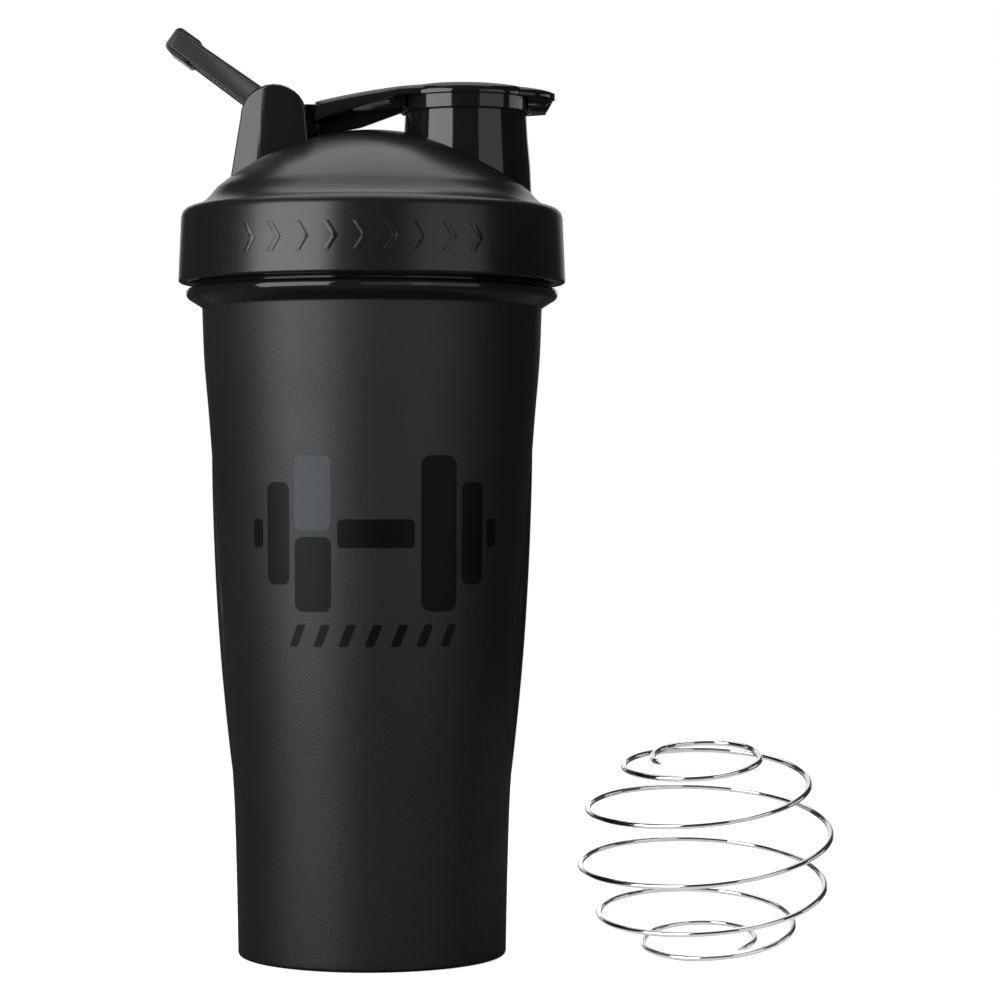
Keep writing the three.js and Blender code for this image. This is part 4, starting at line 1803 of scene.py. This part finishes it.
@dataclass
class WhiskBall:
    """The loose mixing ball: one wire in rising turns between two end rings."""

    wire_radius: float = 0.73 * MM
    radius: float = 32.08 * MM
    height: float = 46.75 * MM
    x: float = 84.8 * MM
    y: float = 4.0 * MM
    turns: float = 4.5
    lower_ring: float = 0.64
    upper_ring: float = 0.58
    tuck: float = 0.26
    latitude: float = math.radians(70)
    slant: float = 0.17
    lean: float = 0.03
    lower_form: tuple[float, float] = (0.66, math.radians(70))
    upper_form: tuple[float, float] = (0.81, math.radians(80))
    steps_per_turn: int = 72
    sides: int = 16

    def centre_line(self) -> list[Vector]:
        """The wire's centre line, resting on the table.

        Returns:
            Its points from the lower end to the upper end.
        """
        whole = self.lower_ring + self.turns + self.upper_ring
        count = round(whole * self.steps_per_turn)
        points = []
        for i in range(count + 1):
            turn = i / count * whole - self.lower_ring
            share = min(1.0, max(-1.0, 2 * turn / self.turns - 1))
            fullness, rise = self.lower_form if share < 0 else self.upper_form
            drawn_in = self.tuck * max(0.0, -turn) / self.lower_ring
            radius = self.radius * math.cos(self.latitude * share) ** fullness * (1 - drawn_in)
            angle = (turn + 0.5) * 2 * math.pi
            slant = radius * (self.slant * math.sin(angle) + self.lean * math.cos(angle))
            z = self.height / 2 * math.sin(rise * share) / math.sin(rise) + slant
            across = self.x + radius * math.cos(angle)
            points.append(Vector((across, self.y + radius * math.sin(angle), z)))
        lowest = min(point.z for point in points)
        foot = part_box("whisk_ball")[0][2] + self.wire_radius + 0.02 * MM
        return [point + Vector((0, 0, foot - lowest)) for point in points]

    def build(self) -> bpy.types.Object:
        """Builds the wire with rounded ends.

        Returns:
            The wire.
        """
        line = self.centre_line()
        sections = []
        last = len(line) - 1
        ends = (0.25, 0.72, 0.95)
        for i, point in enumerate(line):
            ahead = (line[min(last, i + 1)] - line[max(0, i - 1)]).normalized()
            outward = Vector((point.x - self.x, point.y - self.y, 0)).normalized()
            side = ahead.cross(outward).normalized()
            out = side.cross(ahead)
            near_end = min(i, last - i)
            size = ends[near_end] if near_end < len(ends) else 1.0
            ring = []
            for spoke in range(self.sides):
                around = spoke / self.sides * 2 * math.pi
                reach = out * math.cos(around) + side * math.sin(around)
                ring.append(point + reach * self.wire_radius * size)
            sections.append(ring)
        return Form().loft(sections).piece(
            "wire_ball", Body.WHISK_BALL, Slot.WIRE, POLISHED_WIRE, ("whisk_ball",)
        )


# ---- Studio ----


@dataclass
class Softbox:
    """A rectangular light that faces a point on the bottle."""

    name: str
    azimuth: float
    distance: float
    height: float
    width: float
    tall: float
    glow: float
    target: tuple[float, float, float]
    only_for: bpy.types.Collection | None

    def build(self) -> None:
        """Places the light; azimuth 0 is the camera's side, positive to its right."""
        data = bpy.data.lights.new(self.name, "AREA")
        data.shape = "RECTANGLE"
        data.size = self.width
        data.size_y = self.tall
        data.energy = self.glow * math.pi * self.width * self.tall
        light = bpy.data.objects.new(self.name, data)
        bpy.context.scene.collection.objects.link(light)
        angle = math.radians(self.azimuth)
        across, back = self.distance * math.sin(angle), -self.distance * math.cos(angle)
        light.location = (across, back, self.height)
        aim = Vector(self.target) - light.location
        light.rotation_euler = aim.to_track_quat("-Z", "Y").to_euler()
        light.visible_camera = False
        if self.only_for is not None:
            light.light_linking.receiver_collection = self.only_for


@dataclass
class Studio:
    """The pale floor, the lights, the surroundings and the camera."""

    cup: bpy.types.Object
    cap: bpy.types.Object
    loop: bpy.types.Object
    ball: bpy.types.Object
    camera_place: tuple[float, float, float] = (32.4 * MM, -812.0 * MM, 120.0 * MM)
    lens: float = 115.2
    shift_up: float = -0.02
    floor_radius: float = 0.45
    floor_drop: float = 0.1 * MM
    floor_dark: tuple[float, ...] = (0.84, 0.84, 0.845, 1.0)
    floor_light: tuple[float, ...] = (0.88, 0.88, 0.882, 1.0)
    floor_glow: tuple[float, ...] = (0.8, 0.8, 0.8, 1.0)
    floor_mirrored: tuple[float, ...] = (0.10, 0.10, 0.10, 1.0)
    surround: float = 0.04

    def floor(self) -> None:
        """A white floor under the bottle, dim where it would show in the plastic."""
        form = Form()
        bmesh.ops.create_circle(form.bm, cap_ends=True, segments=96, radius=self.floor_radius)
        obj = form.moved(z=-self.floor_drop).as_object("floor")
        material = bpy.data.materials.new("pale_floor")
        material.use_nodes = True
        nodes = Nodes(material.node_tree)
        shader = material.node_tree.nodes["Principled BSDF"]
        shader.inputs["Roughness"].default_value = 0.8
        shader.inputs["Emission Strength"].default_value = 1.0
        place, path = nodes.new("ShaderNodeTexCoord"), nodes.new("ShaderNodeLightPath")
        noise = nodes.new("ShaderNodeTexNoise", {"Scale": 6.0})
        kind, black = "ShaderNodeMix", (0.0, 0.0, 0.0, 1.0)
        tone = nodes.new(kind, {"A": self.floor_dark, "B": self.floor_light}, data_type="RGBA")
        seen = nodes.new(kind, {"A": self.floor_mirrored}, data_type="RGBA")
        glow = nodes.new(kind, {"A": black, "B": self.floor_glow}, data_type="RGBA")
        nodes.links(
            (place, "Object", noise, "Vector"), (noise, "Fac", tone, "Factor"),
            (tone, "Result", seen, "B"), (path, "Is Camera Ray", seen, "Factor"),
            (path, "Is Camera Ray", glow, "Factor"), (seen, "Result", shader, "Base Color"),
            (glow, "Result", shader, "Emission Color"),
        )
        obj.data.materials.append(material)

    def surroundings(self) -> None:
        """White behind the bottle as it is seen, and dim as a source of light."""
        world = bpy.data.worlds.new("studio")
        world.use_nodes = True
        bpy.context.scene.world = world
        nodes = Nodes(world.node_tree)
        path = nodes.new("ShaderNodeLightPath")
        back = world.node_tree.nodes["Background"]
        back.inputs["Color"].default_value = (1.0, 1.0, 1.0, 1.0)
        strength = nodes.new("ShaderNodeMapRange", {"To Min": self.surround, "To Max": 1.0})
        nodes.links(
            (path, "Is Camera Ray", strength, "Value"), (strength, "Result", back, "Strength"),
        )

    def camera(self) -> None:
        """A long lens, level with the cup's upper half."""
        data = bpy.data.cameras.new("camera")
        data.lens = self.lens
        data.sensor_width = 36.0
        data.shift_y = self.shift_up
        data.clip_start = 0.01
        obj = bpy.data.objects.new("camera", data)
        obj.location = self.camera_place
        obj.rotation_euler = (math.pi / 2, 0, 0)
        bpy.context.scene.collection.objects.link(obj)
        bpy.context.scene.camera = obj

    @staticmethod
    def linked(name: str, obj: bpy.types.Object) -> bpy.types.Collection:
        """Puts an object in a collection that a light can be kept to.

        Args:
            name: The collection's name.
            obj: The object.

        Returns:
            The collection.
        """
        group = bpy.data.collections.new(name)
        bpy.context.scene.collection.children.link(group)
        group.objects.link(obj)
        return group

    def build(self) -> None:
        """Builds the studio."""
        self.floor()
        self.surroundings()
        self.camera()
        cup = self.linked("cup_only", self.cup)
        cap = self.linked("cap_only", self.cap)
        loop = self.linked("loop_only", self.loop)
        wire = self.linked("wire_only", self.ball)
        middle, top = (0.0, 0.0, 0.12), (0.0, 0.0, 0.25)
        ball, above = (0.085, 0.0, 0.03), (0.085, 0.0, 1.0)
        # Name, azimuth, distance, height, width, tall, glow, target and what it lights.
        rows = (
            ("key", -47.5, 1.25, 0.25, 1.12, 1.5, 4.3, middle, None),
            ("fill", 48, 1.35, 0.25, 1.1, 1.2, 0.85, middle, None),
            ("top", 180, 0.3, 1.5, 1.5, 1.7, 1.6, (0.0, 0.2, 0.1), None),
            ("backdrop", 180, 0.9, 0.42, 0.76, 0.5, 0.85, top, None),
            ("cup_front", 16, 1.2, 0.15, 0.9, 1.0, 0.5, middle, cup),
            ("loop_front", -4.2, 0.83, 0.34, 0.15, 0.3, 3.6, (-0.04, 0.0, 0.22), loop),
            ("tab_side", 100, 0.8, 0.28, 0.5, 0.4, 1.5, (0.045, 0.0, 0.215), cap),
            ("wire_under", 90, 0.085, 0.0002, 0.17, 0.17, 0.65, above, wire),
            ("wire_back", 178, 0.7, 0.15, 1.1, 0.22, 0.7, ball, wire),
            ("wire_right", 105, 0.8, 0.15, 0.35, 0.3, 0.75, ball, wire),
            ("wire_left", -110, 0.8, 0.15, 0.35, 0.3, 0.75, ball, wire),
        )
        for row in rows:
            Softbox(*row).build()
        bpy.context.scene.view_settings.view_transform = "Standard"


def main() -> None:
    """Builds every piece in order, then the studio."""
    logging.basicConfig(level=logging.INFO, format="%(name)s: %(message)s")
    cup = Cup()
    hinge = Hinge()
    cup_piece = cup.build()
    Lid(cup, hinge).build()
    Seals().build()
    cap_piece = FlipCap(hinge).build()
    loop_piece = CarryLoop(hinge).build()
    ball_piece = WhiskBall().build()
    Studio(cup_piece, cap_piece, loop_piece, ball_piece).build()


if __name__ == "__main__":
    main()
